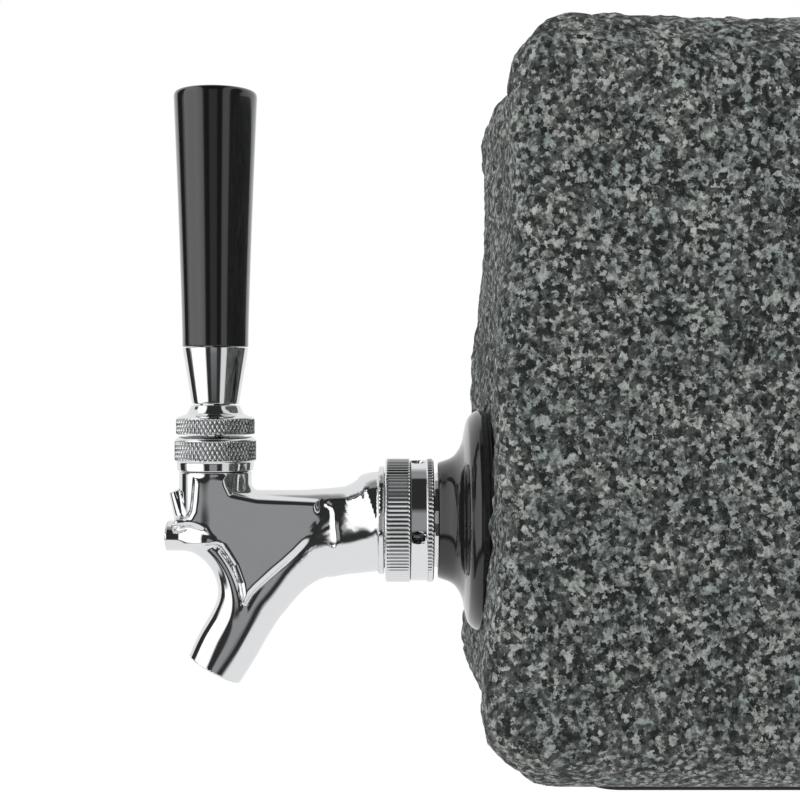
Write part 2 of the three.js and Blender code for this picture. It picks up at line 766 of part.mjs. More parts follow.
function makeShank() {
  const grooveFront = shankFront + snapRing.setBack - RUN;
  const grooveBack = grooveFront + snapRing.thickness + 2 * RUN;
  const grooveRadius = shankRadius - snapRing.sunk - RUN;
  const collarBack = shankCollarFront + shank.collarLength;
  const tube = turned([
    [shankRadius - shank.pocketWall, shankFront],
    [shankRadius, shankFront],
    [shankRadius, grooveFront],
    [grooveRadius, grooveFront],
    [grooveRadius, grooveBack],
    [shankRadius, grooveBack],
    [shankRadius, shankCollarFront],
    [shankCollarRadius, shankCollarFront],
    [shankCollarRadius, collarBack],
    [shankRadius, collarBack],
    [shankRadius, shankEnd],
    [shank.bore, shankEnd],
    [shank.bore, shankFront + shank.pocketDepth],
    [shankRadius - shank.pocketWall, shankFront + shank.pocketDepth],
  ], 24);
  place(tap, 'shank', tube, chrome());

  const clear = shankRadius + FIT;
  const recess = shankCollarRadius + FIT;
  const depth = flange.depth;
  const cover = turned([
    [recess, flangeFront],
    [flangeNeckRadius, flangeFront],
    ...flangeFlare.map(([step, share]) => [flangeNeckRadius + step, flangeFront + share * depth]),
    ...flangeRim.map(([step, share]) => [flange.radius - step, flangeFront + share * depth]),
    [flange.radius, flangeBack],
    [flange.radius - flange.skirt, flangeBack],
    [flange.radius - flange.skirt - flange.skirtLean, flangeBack - flange.hollow],
    [clear + flange.sleeveWall, flangeBack - flange.hollow],
    [clear + flange.sleeveWall, flangeBack],
    [clear, flangeBack],
    [clear, collarBack + FIT],
    [recess, collarBack + FIT],
  ], 32);
  place(tap, 'wall_flange', cover, blackGloss());

  const sealFront = flangeBack + FIT / 2;
  const seal = ringY(clear, flangeGasket.radius, sealFront, sealFront + flangeGasket.thickness, ROUND);
  place(tap, 'flange_gasket', seal, rubber());
}

// ---- Behind the stone's front wall, inside its core ----

function makeTail() {
  const clear = shankRadius + FIT;
  const disc = rodY(shankRadius + saddle.overShank, coreFront - PAST, saddleBack, 24);
  const wall = rodZ(stone.coreRadius - FIT, -30, 30, 32).translate(0, -handleY, 0);
  const opening = rodY(clear, coreFront - 2 * PAST, saddleBack + PAST, 24);
  const washer = solid(disc).intersect(solid(wall)).subtract(solid(opening));
  placeSolid(tap, 'saddle_washer', washer, steel());

  const lock = hexNut(2 * (shankRadius + lockNut.wall), clear, saddleBack + FIT, lockNutBack);
  place(tap, 'shank_locknut', lock, brass());

  const seal = ringY(shank.bore + FIT, tail.flangeRadius, shankEnd + FIT, tailFront - FIT);
  place(tap, 'tail_washer', seal, rubber());

  const nutFront = tailNutBack - tailNut.length;
  const lipFront = tailNutBack - tailNut.lip;
  const hex = solid(hexNut(2 * (shankRadius + tailNut.wall), tail.radius + FIT, nutFront, tailNutBack));
  const thread = rodY(clear, nutFront - PAST, lipFront, 24);
  placeSolid(tap, 'tail_nut', cut(hex, thread), brass());

  const bendFront = tailFront + tail.run;
  const { radius, bore, bend } = tail;
  const bendStations = (r) => [0, 0.25, 0.5, 0.75, 1].map((t) => {
    const angle = t * Math.PI / 2;
    return [bendFront + bend * Math.sin(angle), bend * (Math.cos(angle) - 1), r, r];
  });
  const dropY = bendFront + bend;
  const base = rodY(tail.flangeRadius, tailFront, tailFlangeBack, 24);
  const run = rodY(radius, tailFront, bendFront, 16);
  const outside = pipe(bendStations(radius), 16, 6);
  const profile = [[0, -bend], [radius, -bend], [radius, -bend - 3]];
  for (let i = 0; i < barb.count; i += 1) {
    const top = -bend - 3 - i * barb.pitch;
    profile.push([barb.root, top - 0.2], [barb.radius, top - 0.6], [barb.root, top - barb.pitch + 0.4]);
  }
  const barbEnd = -bend - 3 - barb.count * barb.pitch;
  profile.push([barb.root, barbEnd], [0, barbEnd]);
  const spigot = upright(profile, 16).translate(0, dropY, 0);
  const runBore = rodY(bore, tailFront - PAST, bendFront, 12);
  const bendBore = pipe(bendStations(bore), 12, 6);
  const dropBore = rodZ(bore, barbEnd - PAST, -bend, 12).translate(0, dropY, 0);
  const elbow = joined(base, run, outside, spigot);
  placeSolid(tap, 'tail_elbow', cut(elbow, runBore, bendBore, dropBore), chrome());
}

makeStone();
makeBase();
makeHandle();
makeCollar();
makeLever();
makeBonnet();
makeFaucetBody();
makeValve();
makeCoupling();
makeShank();
makeTail();

const extent = new THREE.Box3().setFromObject(root, true);
const middle = extent.getCenter(new THREE.Vector3());
root.position.set(-middle.x, -middle.y, -extent.min.z);

const group = new THREE.Group();
group.add(root);

export default group;
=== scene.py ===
from math import pi, radians

import bmesh
import bpy
import numpy as np
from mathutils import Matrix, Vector


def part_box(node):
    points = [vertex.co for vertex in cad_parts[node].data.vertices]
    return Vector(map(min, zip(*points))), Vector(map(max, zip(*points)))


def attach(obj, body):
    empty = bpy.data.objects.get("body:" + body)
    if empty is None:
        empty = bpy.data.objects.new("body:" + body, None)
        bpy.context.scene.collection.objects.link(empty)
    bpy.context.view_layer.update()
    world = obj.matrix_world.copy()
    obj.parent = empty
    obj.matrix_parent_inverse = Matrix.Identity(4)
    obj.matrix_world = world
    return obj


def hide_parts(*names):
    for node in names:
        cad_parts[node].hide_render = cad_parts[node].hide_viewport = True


bl_info = {
    "name": "Beer Tap Tower",
    "version": (1, 0, 0),
    "blender": (4, 5, 0),
    "location": "View3D > Sidebar > Tap Tower",
    "description": "Fine surfaces, finishes and stage for a beer tap on a granite block",
    "category": "Object",
}

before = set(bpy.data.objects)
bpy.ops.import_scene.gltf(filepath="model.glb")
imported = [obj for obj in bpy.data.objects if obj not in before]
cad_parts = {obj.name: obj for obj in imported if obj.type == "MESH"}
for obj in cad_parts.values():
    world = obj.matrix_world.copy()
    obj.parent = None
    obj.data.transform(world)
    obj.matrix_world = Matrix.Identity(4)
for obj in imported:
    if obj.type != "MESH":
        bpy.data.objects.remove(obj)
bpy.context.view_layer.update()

# ---- Places, in millimetres, read from the frame ----

MM = 0.001


def span(node):
    """Lowest and highest corners of a CAD node, in millimetres."""
    low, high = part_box(node)
    return np.array(low) / MM, np.array(high) / MM


def middle(node):
    low, high = span(node)
    return (low + high) / 2


AXIS_X = 0.0
HANDLE_Y = middle("handle_grip")[1]  # the handle's upright axis
SHANK_Z = middle("shank")[2]  # the shank's level axis
STONE_AXIS = (middle("base_insert_1") + middle("base_insert_3")) / 2
STONE_FOOT = span("stone_block")[0][2]


def heights(node):
    """Foot and top of an upright piece, above the shank's axis."""
    low, high = span(node)
    return low[2] - SHANK_Z, high[2] - SHANK_Z


def reach(node):
    """Front and back of a level piece, behind the handle's axis."""
    low, high = span(node)
    return low[1] - HANDLE_Y, high[1] - HANDLE_Y


# ---- Sizes and colours that a user would change ----


class TapSettings(bpy.types.PropertyGroup):
    knurl_depth: bpy.props.FloatProperty(
        name="Knurl depth", description="Depth of the diamond knurls, in millimetres",
        default=0.38, min=0.0, max=1.0)
    knurl_count: bpy.props.IntProperty(
        name="Knurl count", description="Diamonds round the collar and the bonnet",
        default=54, min=12, max=90)
    spline_count: bpy.props.IntProperty(
        name="Spline count", description="Straight teeth round the coupling nut",
        default=90, min=24, max=140)
    body_cell: bpy.props.FloatProperty(
        name="Body cell", description="Grid step of the cast body, in millimetres",
        default=0.5, min=0.35, max=2.0)
    chrome_colour: bpy.props.FloatVectorProperty(
        name="Chrome", description="Colour of the plating", subtype="COLOR",
        size=4, min=0.0, max=1.0, default=(0.80, 0.81, 0.82, 1.0))
    grip_colour: bpy.props.FloatVectorProperty(
        name="Grip", description="Colour of the plastic grip", subtype="COLOR",
        size=4, min=0.0, max=1.0, default=(0.004, 0.004, 0.0045, 1.0))


class StoneSettings(bpy.types.PropertyGroup):
    relief: bpy.props.FloatProperty(
        name="Relief", description="Height of the coarse chips, in millimetres",
        default=0.75, min=0.0, max=2.0)
    grain: bpy.props.FloatProperty(
        name="Grain", description="Size of a mineral grain, in millimetres",
        default=1.35, min=0.5, max=6.0)
    dark: bpy.props.FloatVectorProperty(
        name="Dark mineral", description="Colour of the dark grains", subtype="COLOR",
        size=4, min=0.0, max=1.0, default=(0.008, 0.010, 0.010, 1.0))
    pale: bpy.props.FloatVectorProperty(
        name="Pale mineral", description="Colour of the pale grains", subtype="COLOR",
        size=4, min=0.0, max=1.0, default=(0.46, 0.49, 0.47, 1.0))


class StageSettings(bpy.types.PropertyGroup):
    distance: bpy.props.FloatProperty(
        name="Camera distance", description="From the camera to the tap's middle plane",
        default=0.473, min=0.1, max=5.0, unit="LENGTH")
    lens: bpy.props.FloatProperty(
        name="Lens", description="Focal length of the camera, in millimetres",
        default=69.75, min=20.0, max=200.0)


# ---- Meshes ----

TINY = 1e-9  # keeps a division from meeting zero
FILLET_LIMIT = 0.48  # the share of a side that a corner's curve may take
SHORTEST = 0.08  # points nearer than this share of the step are left out

def mesh_object(name, points, faces, normals=None, edge_angle=35.0):
    """An object at the origin from points in millimetres and a list of face arrays."""
    mesh = bpy.data.meshes.new(name)
    polygons = [face for block in faces for face in block.tolist()]
    mesh.from_pydata((points * MM).tolist(), [], polygons)
    mesh.validate()
    mesh.shade_smooth()
    if normals is None:
        mesh.set_sharp_from_angle(angle=radians(edge_angle))
    else:
        mesh.normals_split_custom_set_from_vertices(normals.tolist())
    thing = bpy.data.objects.new(name, mesh)
    bpy.context.scene.collection.objects.link(thing)
    return thing


def finish_piece(piece, body, nodes, material):
    """Gives a piece its material, its body, and the CAD nodes that it stands for."""
    piece.data.materials.clear()
    piece.data.materials.append(material)
    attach(piece, body)
    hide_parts(*nodes)
    return piece


def filleted(corners, steps=5):
    """A profile whose corners (a, b, size) become short curves.

    At each corner the curve is (1-t)^2 P + 2t(1-t) C + t^2 Q, with P and Q set back
    from the corner C by its size along the two sides.
    """
    c = np.array([row[:2] for row in corners], float)
    size = np.array([row[2] if len(row) > 2 else 0.0 for row in corners])
    to_last = np.roll(c, 1, 0) - c
    to_next = np.roll(c, -1, 0) - c
    last_length = np.linalg.norm(to_last, axis=1)
    next_length = np.linalg.norm(to_next, axis=1)
    before = np.minimum(size, FILLET_LIMIT * last_length) / np.maximum(last_length, TINY)
    behind = np.minimum(size, FILLET_LIMIT * next_length) / np.maximum(next_length, TINY)
    p = c + to_last * before[:, None]
    q = c + to_next * behind[:, None]
    t = np.linspace(0, 1, steps)[None, :, None]
    curve = (1 - t) ** 2 * p[:, None] + 2 * t * (1 - t) * c[:, None] + t ** 2 * q[:, None]
    keep = np.ones((len(c), steps), bool)
    keep[size <= 0, 1:] = False
    return curve[keep]


def refined(profile, step, closed):
    """The same outline with extra points, so that no stretch is longer than the step."""
    loop = np.vstack([profile, profile[:1]]) if closed else profile
    along = np.concatenate([[0], np.cumsum(np.linalg.norm(np.diff(loop, axis=0), axis=1))])
    places = np.unique(np.round(np.concatenate([along, np.arange(0, along[-1], step)]), 5))
    gap = np.concatenate([[True], np.diff(places) > step * SHORTEST])
    places = places[gap]
    if closed:
        places = places[places < along[-1] - step * SHORTEST]
    return np.stack([np.interp(places, along, loop[:, i]) for i in (0, 1)], axis=1)


def lathe(name, corners, axis, facets=128, step=1.0, relief=None, edge_angle=35.0, steps=5):
    """A turned piece: radius r(s) carried round the axis by the angle a.

    Z axis: (r cos a, r sin a, h) on the handle's axis.
    Y axis: (r cos a, h, r sin a) on the shank's axis.
    relief(a, r, h) gives what is taken off the radius.
    """
    closed = corners[0][0] > 1e-6
    profile = refined(filleted(corners, steps), step, closed)
    if not closed:
        profile[[0, -1], 0] = 0.0
    rows = len(profile)
    a = np.arange(facets) * 2 * pi / facets
    r = np.repeat(profile[:, :1], facets, axis=1)
    h = np.repeat(profile[:, 1:], facets, axis=1)
    angle = np.repeat(a[None, :], rows, axis=0)
    taken = np.zeros_like(r)
    if relief is not None:
        taken = relief(angle, r, h)
        r = np.maximum(r - taken, 0.0)
    x = r * np.cos(angle)
    side = r * np.sin(angle)
    if axis == "Z":
        points = np.stack([x + AXIS_X, side + HANDLE_Y, h + SHANK_Z], axis=-1)
    else:
        points = np.stack([x + AXIS_X, h + HANDLE_Y, side + SHANK_Z], axis=-1)
    points = points.reshape(-1, 3)
    column = np.arange(facets)
    after = (column + 1) % facets
    first, last = (0, rows) if closed else (1, rows - 2)
    row = np.arange(first, last)
    up = (row + 1) % rows
    quads = np.stack([
        row[:, None] * facets + column, row[:, None] * facets + after,
        up[:, None] * facets + after, up[:, None] * facets + column,
    ], axis=-1).reshape(-1, 4)
    faces = [quads]
    if not closed:
        low = np.stack([np.zeros(facets, int), facets + after, facets + column], axis=-1)
        high = np.stack([
            np.full(facets, (rows - 1) * facets),
            (rows - 2) * facets + column, (rows - 2) * facets + after,
        ], axis=-1)
        faces += [low, high]
    used = np.unique(np.concatenate([block.ravel() for block in faces]))
    number = np.zeros(len(points), int)
    number[used] = np.arange(len(used))
    faces = [number[block] for block in faces]
    points = points[used]
    if volume(points, faces) < 0:
        faces = [block[:, ::-1] for block in faces]
    piece = mesh_object(name, points, faces, edge_angle=edge_angle)
    # Share of the relief's depth at each point, kept as a mask for painted shade that darkens the
    # colour in knurl grooves, teeth and holes.
    groove_shade_mask = piece.data.attributes.new("groove_shade_mask", "FLOAT", "POINT")
    share = taken.ravel()[used] / max(float(taken.max()), 0.4)
    groove_shade_mask.data.foreach_set("value", np.minimum(share, 1.0).astype(np.float32))
    return piece


def volume(points, faces):
    """Six times the enclosed volume: the sum of a . (b x c) over a fan of triangles."""
    total = 0.0
    for block in faces:
        for i in range(1, block.shape[1] - 1):
            a, b, c = points[block[:, 0]], points[block[:, i]], points[block[:, i + 1]]
            total += float(np.einsum("ij,ij->", a, np.cross(b, c)))
    return total


def wedge(t):
    """A triangle wave of period 1 that runs from 0 up to 1 and back."""
    return 1 - np.abs(2 * (t - np.floor(t)) - 1)


def smooth_step(t):
    t = np.clip(t, 0, 1)
    return t * t * (3 - 2 * t)


def diamonds(low, high, radius, count, depth):
    """Crossed helical grooves at 30 degrees: depth (1 - min(w(u), w(v))) inside a band."""
    rise = 2 * pi * radius / count * 1.73

    def relief(angle, r, h):
        round_ = angle * count / (2 * pi)
        height = (h - low) / rise
        w = np.minimum(wedge(round_ + height), wedge(round_ - height))
        inside = smooth_step((h - low) / 0.35) * smooth_step((high - h) / 0.35)
        outer = smooth_step((r - radius + 0.5) / 0.3)
        return depth * (1 - smooth_step(w * 1.7)) * inside * outer

    return relief


# ---- Materials ----


def node(tree, kind, place=(0, 0), sockets=None, **values):
    """A new node with its own settings and the values of its unlinked sockets."""
    made = tree.nodes.new(kind)
    made.location = place
    for key, value in values.items():
        setattr(made, key, value)
    for key, value in (sockets or {}).items():
        made.inputs[key].default_value = value
    return made


def group_input(tree, name, kind, default):
    socket = tree.interface.new_socket(name=name, in_out="INPUT", socket_type=kind)
    socket.default_value = default
    return socket


def wear_group():
    """Fine handling marks: two scales of noise that raise roughness and shade the colour."""
    if "Handling marks" in bpy.data.node_groups:
        return bpy.data.node_groups["Handling marks"]
    tree = bpy.data.node_groups.new("Handling marks", "ShaderNodeTree")
    group_input(tree, "Colour", "NodeSocketColor", (0.8, 0.8, 0.8, 1))
    group_input(tree, "Roughness", "NodeSocketFloat", 0.1)
    group_input(tree, "Spread", "NodeSocketFloat", 0.03)
    group_input(tree, "Shade", "NodeSocketFloat", 0.05)
    group_input(tree, "Scale", "NodeSocketFloat", 300.0)
    for name, kind in (("Colour", "NodeSocketColor"), ("Roughness", "NodeSocketFloat"),
                       ("Height", "NodeSocketFloat")):
        tree.interface.new_socket(name=name, in_out="OUTPUT", socket_type=kind)
    enter = node(tree, "NodeGroupInput", (-900, 0))
    leave = node(tree, "NodeGroupOutput", (600, 0))
    place = node(tree, "ShaderNodeTexCoord", (-900, -300))
    broad = node(tree, "ShaderNodeTexNoise", (-650, -200))
    fine = node(tree, "ShaderNodeTexNoise", (-650, -450))
    larger = node(tree, "ShaderNodeMath", (-850, -500), operation="MULTIPLY", sockets={1: 9.0})
    link = tree.links.new
    link(place.outputs["Object"], broad.inputs["Vector"])
    link(place.outputs["Object"], fine.inputs["Vector"])
    link(enter.outputs["Scale"], broad.inputs["Scale"])
    link(enter.outputs["Scale"], larger.inputs[0])
    link(larger.outputs[0], fine.inputs["Scale"])
    both = node(tree, "ShaderNodeMath", (-400, -300), operation="MULTIPLY_ADD", sockets={1: 0.5})
    half = node(tree, "ShaderNodeMath", (-400, -500), operation="MULTIPLY", sockets={1: 0.5})
    link(fine.outputs["Fac"], half.inputs[0])
    link(broad.outputs["Fac"], both.inputs[0])
    link(half.outputs[0], both.inputs[2])
    centred = node(tree, "ShaderNodeMath", (-200, -300), operation="SUBTRACT", sockets={1: 0.5})
    link(both.outputs[0], centred.inputs[0])
    rough = node(tree, "ShaderNodeMath", (100, -200), operation="MULTIPLY_ADD")
    link(centred.outputs[0], rough.inputs[0])
    link(enter.outputs["Spread"], rough.inputs[1])
    link(enter.outputs["Roughness"], rough.inputs[2])
    dim = node(tree, "ShaderNodeMath", (-100, 100), operation="MULTIPLY")
    link(both.outputs[0], dim.inputs[0])
    link(enter.outputs["Shade"], dim.inputs[1])
    shade = node(tree, "ShaderNodeMix", (200, 150), data_type="RGBA")
    link(dim.outputs[0], shade.inputs["Factor"])
    link(enter.outputs["Colour"], shade.inputs["A"])
    shade.inputs["B"].default_value = (0.05, 0.05, 0.05, 1)
    link(shade.outputs["Result"], leave.inputs["Colour"])
    link(rough.outputs[0], leave.inputs["Roughness"])
    link(fine.outputs["Fac"], leave.inputs["Height"])
    return tree


def worn(name, colour, roughness, metallic, spread=0.04, shade=0.06, scale=300.0,
         bump=0.02, depth=0.00005, coat=0.0, grooves=0.0):
    """A material with handling marks in its colour, roughness and fine bump, and painted shade that
    darkens the colour where the mesh's groove share is high.
    """
    if name in bpy.data.materials:
        return bpy.data.materials[name]
    material = bpy.data.materials.new(name)
    material.use_nodes = True
    tree = material.node_tree
    shader = tree.nodes["Principled BSDF"]
    marks = node(tree, "ShaderNodeGroup", (-500, 0))
    marks.node_tree = wear_group()
    looks = {"Colour": colour, "Roughness": roughness, "Spread": spread, "Shade": shade,
             "Scale": scale}
    for socket, value in looks.items():
        marks.inputs[socket].default_value = value
    raise_ = node(tree, "ShaderNodeBump", (-250, -300),
                  sockets={"Strength": bump, "Distance": depth})
    link = tree.links.new
    # Painted shade: the colour is mixed towards near black by the groove share, in the knurl
    # grooves, teeth and holes.
    groove_painted_shade = node(tree, "ShaderNodeMix", (-200, 200), data_type="RGBA",
                  sockets={"B": (0.01, 0.01, 0.011, 1)})
    groove_shade_mask = node(tree, "ShaderNodeAttribute", (-600, 300), attribute_name="groove_shade_mask")
    groove_shade_share = node(tree, "ShaderNodeMath", (-400, 300), operation="MULTIPLY",
                       sockets={1: grooves})
    link(groove_shade_mask.outputs["Fac"], groove_shade_share.inputs[0])
    link(groove_shade_share.outputs[0], groove_painted_shade.inputs["Factor"])
    link(marks.outputs["Colour"], groove_painted_shade.inputs["A"])
    link(groove_painted_shade.outputs["Result"], shader.inputs["Base Color"])
    link(marks.outputs["Roughness"], shader.inputs["Roughness"])
    link(marks.outputs["Height"], raise_.inputs["Height"])
    link(raise_.outputs["Normal"], shader.inputs["Normal"])
    shader.inputs["Metallic"].default_value = metallic
    shader.inputs["Coat Weight"].default_value = coat
    return material


def chrome():
    colour = tuple(bpy.context.scene.tap_tower.chrome_colour)
    # grooves=0.85 paints shade into the plating's colour in the knurl grooves, teeth and holes.
    return worn("Chrome plating", colour, 0.075, 1.0, spread=0.05, shade=0.03, bump=0.01,
                grooves=0.85)


def grip_plastic():
    colour = tuple(bpy.context.scene.tap_tower.grip_colour)
    return worn("Moulded black grip", colour, 0.16, 0.0, spread=0.06, scale=500.0, bump=0.03,
                coat=0.8)


def flange_gloss():
    return worn("Glossy black flange", (0.010, 0.010, 0.011, 1), 0.085, 0.0, spread=0.05,
                scale=200.0, coat=0.3)


def brass():
    return worn("Turned brass", (0.62, 0.42, 0.16, 1), 0.3, 1.0, spread=0.15, shade=0.15)


def steel():
    return worn("Plain steel", (0.55, 0.56, 0.57, 1), 0.33, 1.0, spread=0.15, shade=0.12)


def rubber():
    return worn("Black rubber", (0.022, 0.022, 0.023, 1), 0.8, 0.0, spread=0.2, scale=700.0,
                bump=0.3, depth=0.0001)


def nylon():
    return worn("White nylon", (0.75, 0.73, 0.66, 1), 0.5, 0.0, spread=0.1, bump=0.1)


def granite():
    """Speckled stone: a cell pattern picks each grain's tone, noise tints it in patches."""
    if "Rough granite" in bpy.data.materials:
        return bpy.data.materials["Rough granite"]
    settings = bpy.context.scene.tap_stone
    material = bpy.data.materials.new("Rough granite")
    material.use_nodes = True
    tree = material.node_tree
    shader = tree.nodes["Principled BSDF"]
    link = tree.links.new
    place = node(tree, "ShaderNodeTexCoord", (-1500, 0))
    bend = node(tree, "ShaderNodeTexNoise", (-1500, -300),
                sockets={"Scale": 1100.0, "Detail": 4.0})
    link(place.outputs["Object"], bend.inputs["Vector"])
    shift = node(tree, "ShaderNodeVectorMath", (-1300, -200), operation="MULTIPLY_ADD",
                 sockets={1: (0.0026, 0.0026, 0.0026)})
    link(bend.outputs["Color"], shift.inputs[0])
    link(place.outputs["Object"], shift.inputs[2])
    grains = node(tree, "ShaderNodeTexVoronoi", (-1050, 100),
                  sockets={"Scale": 1000.0 / settings.grain})
    link(shift.outputs[0], grains.inputs["Vector"])
    dust = node(tree, "ShaderNodeTexNoise", (-1050, -200),
                sockets={"Scale": 620.0, "Detail": 6.0, "Roughness": 0.7})
    link(place.outputs["Object"], dust.inputs["Vector"])
    tone = node(tree, "ShaderNodeSeparateColor", (-850, 100))
    link(grains.outputs["Color"], tone.inputs[0])
    mixed = node(tree, "ShaderNodeMix", (-650, 0), data_type="FLOAT", sockets={"Factor": 0.68})
    link(tone.outputs[0], mixed.inputs["A"])
    link(dust.outputs["Fac"], mixed.inputs["B"])
    ramp = node(tree, "ShaderNodeValToRGB", (-450, 0))
    dark, pale = tuple(settings.dark), tuple(settings.pale)
    half = tuple((a * 2 + b) / 5.6 for a, b in zip(dark, pale))
    stops = ramp.color_ramp.elements
    stops[0].position, stops[0].color = 0.37, dark
    stops[1].position, stops[1].color = 0.69, pale
    stop = stops.new(0.52)
    stop.color = half[:3] + (1,)
    link(mixed.outputs["Result"], ramp.inputs["Fac"])
    patches = node(tree, "ShaderNodeTexNoise", (-650, -400),
                   sockets={"Scale": 90.0, "Detail": 4.0})
    link(place.outputs["Object"], patches.inputs["Vector"])
    tint = node(tree, "ShaderNodeValToRGB", (-450, -400))
    stops = tint.color_ramp.elements
    stops[0].position, stops[0].color = 0.38, (0.66, 0.72, 0.70, 1)
    stops[1].position, stops[1].color = 0.62, (1.0, 0.98, 0.97, 1)
    link(patches.outputs["Fac"], tint.inputs["Fac"])
    colour = node(tree, "ShaderNodeMix", (-200, 100), data_type="RGBA", blend_type="MULTIPLY",
                  sockets={"Factor": 1.0})
    link(ramp.outputs["Color"], colour.inputs["A"])
    link(tint.outputs["Color"], colour.inputs["B"])
    link(colour.outputs["Result"], shader.inputs["Base Color"])
    rough = node(tree, "ShaderNodeMapRange", (-200, -150), sockets={"To Min": 0.9, "To Max": 0.55})
    link(mixed.outputs["Result"], rough.inputs["Value"])
    link(rough.outputs["Result"], shader.inputs["Roughness"])
    raise_ = node(tree, "ShaderNodeBump", (-200, -400),
                  sockets={"Strength": 0.9, "Distance": 0.0012})
    link(mixed.outputs["Result"], raise_.inputs["Height"])
    link(raise_.outputs["Normal"], shader.inputs["Normal"])
    return material


# ---- Cast body: a distance field in millimetres, meshed where it is zero ----

# Stations of the two arms, (y, z, radius in the side view, half width).
FRONT_ARM = [
    (-15, -4.7, 4.6, 8), (-8, -5, 4.5, 8.6), (-3.5, -6.3, 4.7, 9.2), (0.8, -9.6, 4.8, 9.4),
    (4.2, -14.3, 5, 9.4), (6.4, -20, 5.7, 9.2), (7, -25.5, 6.8, 8.8), (5.7, -31, 7.5, 8.3),
    (2.3, -38, 8, 8), (-0.8, -44.8, 8, 8),
]
REAR_ARM = [
    (50, -0.7, 15.5, 15.5), (47.5, -1.6, 14.5, 14.5), (43, -2.9, 13.4, 13.4),
    (38, -3.8, 12.95, 12.3), (33, -4.9, 12.9, 11), (27, -8, 11.8, 9.6),
    (20.5, -14.5, 9.5, 8.8), (14, -22.5, 9, 8.6), (10, -29.3, 8.3, 8.3),
    (4.7, -38.8, 8.1, 8.1), (0.4, -45.7, 8, 8),
]
OUTLET = [
    (-1.1, -47.4, 6.6), (4.4, -37.3, 6.5), (7.7, -31.4, 6.4), (12.8, -22, 6.1),
    (18.6, -13.6, 5.6), (24, -6, 5.2), (27, 0, 4.8),
]
PANEL = [
    (-5.3, 13.4), (4.5, 14), (5.3, 11), (6.3, 8.8), (13.6, 7.3), (25.5, 6.7), (31.6, 6.4),
    (32.5, 3), (33.6, -3.7), (31, -3.8), (28, -6.4), (25.2, -9.4), (22.2, -12.2),
    (19.4, -14.6), (16.4, -17.3), (13.6, -19.8), (11.8, -21.7), (10, -24.7), (9.4, -24.1),
    (8.4, -18.3), (6.5, -13), (4.5, -9.8), (2.7, -7.2), (-0.4, -4.5), (-2.5, -2.4),
    (-5.3, -1.4), (-8, -0.9), (-12.4, -1.2), (-10.8, 1.2), (-8.6, 1.2), (-7.1, 1.8),
    (-6.2, 3.5), (-5.8, 6.4), (-5.5, 10.4),
]
RIDGE = [(34.6, 5.3), (36.5, 3.8), (37, -1), (37.5, -6.5), (37, -7.5)]
RIDGE_HEIGHT, RIDGE_WIDTH = 0.3, 0.75

# Round parts of the casting, (radius, from, to): along y, then upright.
BARREL = (9.8, 4, 45)
BARREL_DROP = 0.6
REAR_DISC = (16.4, 49.9, 51.5)
REAR_THREAD = (14.3, 50, 57)
CHAMBER = (5.8, -2, 51)
GUIDE = (4.6, -8.5, 0)
POCKET = (9.5, 49, 60)
BOSS = (11.0, -6, 14.9)
NECK = (9.6, 8, 20.0)
SOCKET = (8.3, 7.5, 24)
THROAT = (6.4, 0, 14)

BELL_BACK, NOSE_FRONT = 50.2, -14.4
SPOUT_END, SPOUT_CUT = (-0.1, -45.4), (-0.487, -0.873)  # a point, and the way out of it
PANEL_HALF, PANEL_EDGE = 11.3, 2.2
PANEL_TAPER_BACK, PANEL_TAPER_DOWN = 0.028, 0.03
MOUND, MOUND_AT, MOUND_SPREAD = 0.5, (15, -3), 110
RIPPLE = 0.02
VENT_MOUTH, VENT_SLOPE = (-12.2, 9.0), (0.34, 0.94)
VENT_RADIUS, VENT_FLARE, VENT_LENGTH, VENT_BORE = 2.0, 0.13, 11, 1.1
VENT_ROUND = 0.42  # height of the vent stub's section over its width


def spline(stations, samples):
    """Catmull-Rom curve: through every station, with slope (next - last) / 2 there."""
    s = np.array(stations, float)
    s = np.vstack([2 * s[0] - s[1], s, 2 * s[-1] - s[-2]])
    t = np.linspace(0, len(stations) - 1 - 1e-9, samples)
    i = t.astype(int)
    u = (t - i)[:, None]
    a, b, c, d = s[i], s[i + 1], s[i + 2], s[i + 3]
    return 0.5 * (2 * b + (c - a) * u + (2 * a - 5 * b + 4 * c - d) * u ** 2
                  + (3 * b - a - 3 * c + d) * u ** 3)


def nearest(curve, y, z):
    """Distance in the side view to a curve, and the curve's other columns there."""
    best = np.full(y.shape, np.inf)
    extra = np.zeros(y.shape + (curve.shape[1] - 2,))
    for start, end in zip(curve[:-1], curve[1:]):
        dy, dz = end[0] - start[0], end[1] - start[1]
        t = np.clip(((y - start[0]) * dy + (z - start[1]) * dz) / (dy * dy + dz * dz), 0, 1)
        gap = (y - start[0] - t * dy) ** 2 + (z - start[1] - t * dz) ** 2
        closer = gap < best
        best = np.where(closer, gap, best)
        here = start[2:] + t[..., None] * (end[2:] - start[2:])
        extra = np.where(closer[..., None], here, extra)
    return np.sqrt(best), extra


def outline_distance(points, y, z):
    """Signed distance to a closed outline, negative inside."""
    corners = np.array(points, float)
    best = np.full(y.shape, np.inf)
    inside = np.zeros(y.shape, bool)
    for a, b in zip(corners, np.roll(corners, -1, 0)):
        dy, dz = b - a
        t = np.clip(((y - a[0]) * dy + (z - a[1]) * dz) / (dy * dy + dz * dz), 0, 1)
        best = np.minimum(best, np.hypot(y - a[0] - t * dy, z - a[1] - t * dz))
        spans = (a[1] > z) != (b[1] > z)
        with np.errstate(divide="ignore", invalid="ignore"):
            cross = a[0] + (z - a[1]) * dy / (dz if dz else np.inf)
        inside ^= spans & (y < cross)
    return np.where(inside, -best, best)


def union(a, b, k):
    """Rounded union: min(a, b) - k h^2 / 4, with h = max(1 - |a - b| / k, 0)."""
    h = np.maximum(1 - np.abs(a - b) / k, 0)
    return np.minimum(a, b) - k * h * h / 4


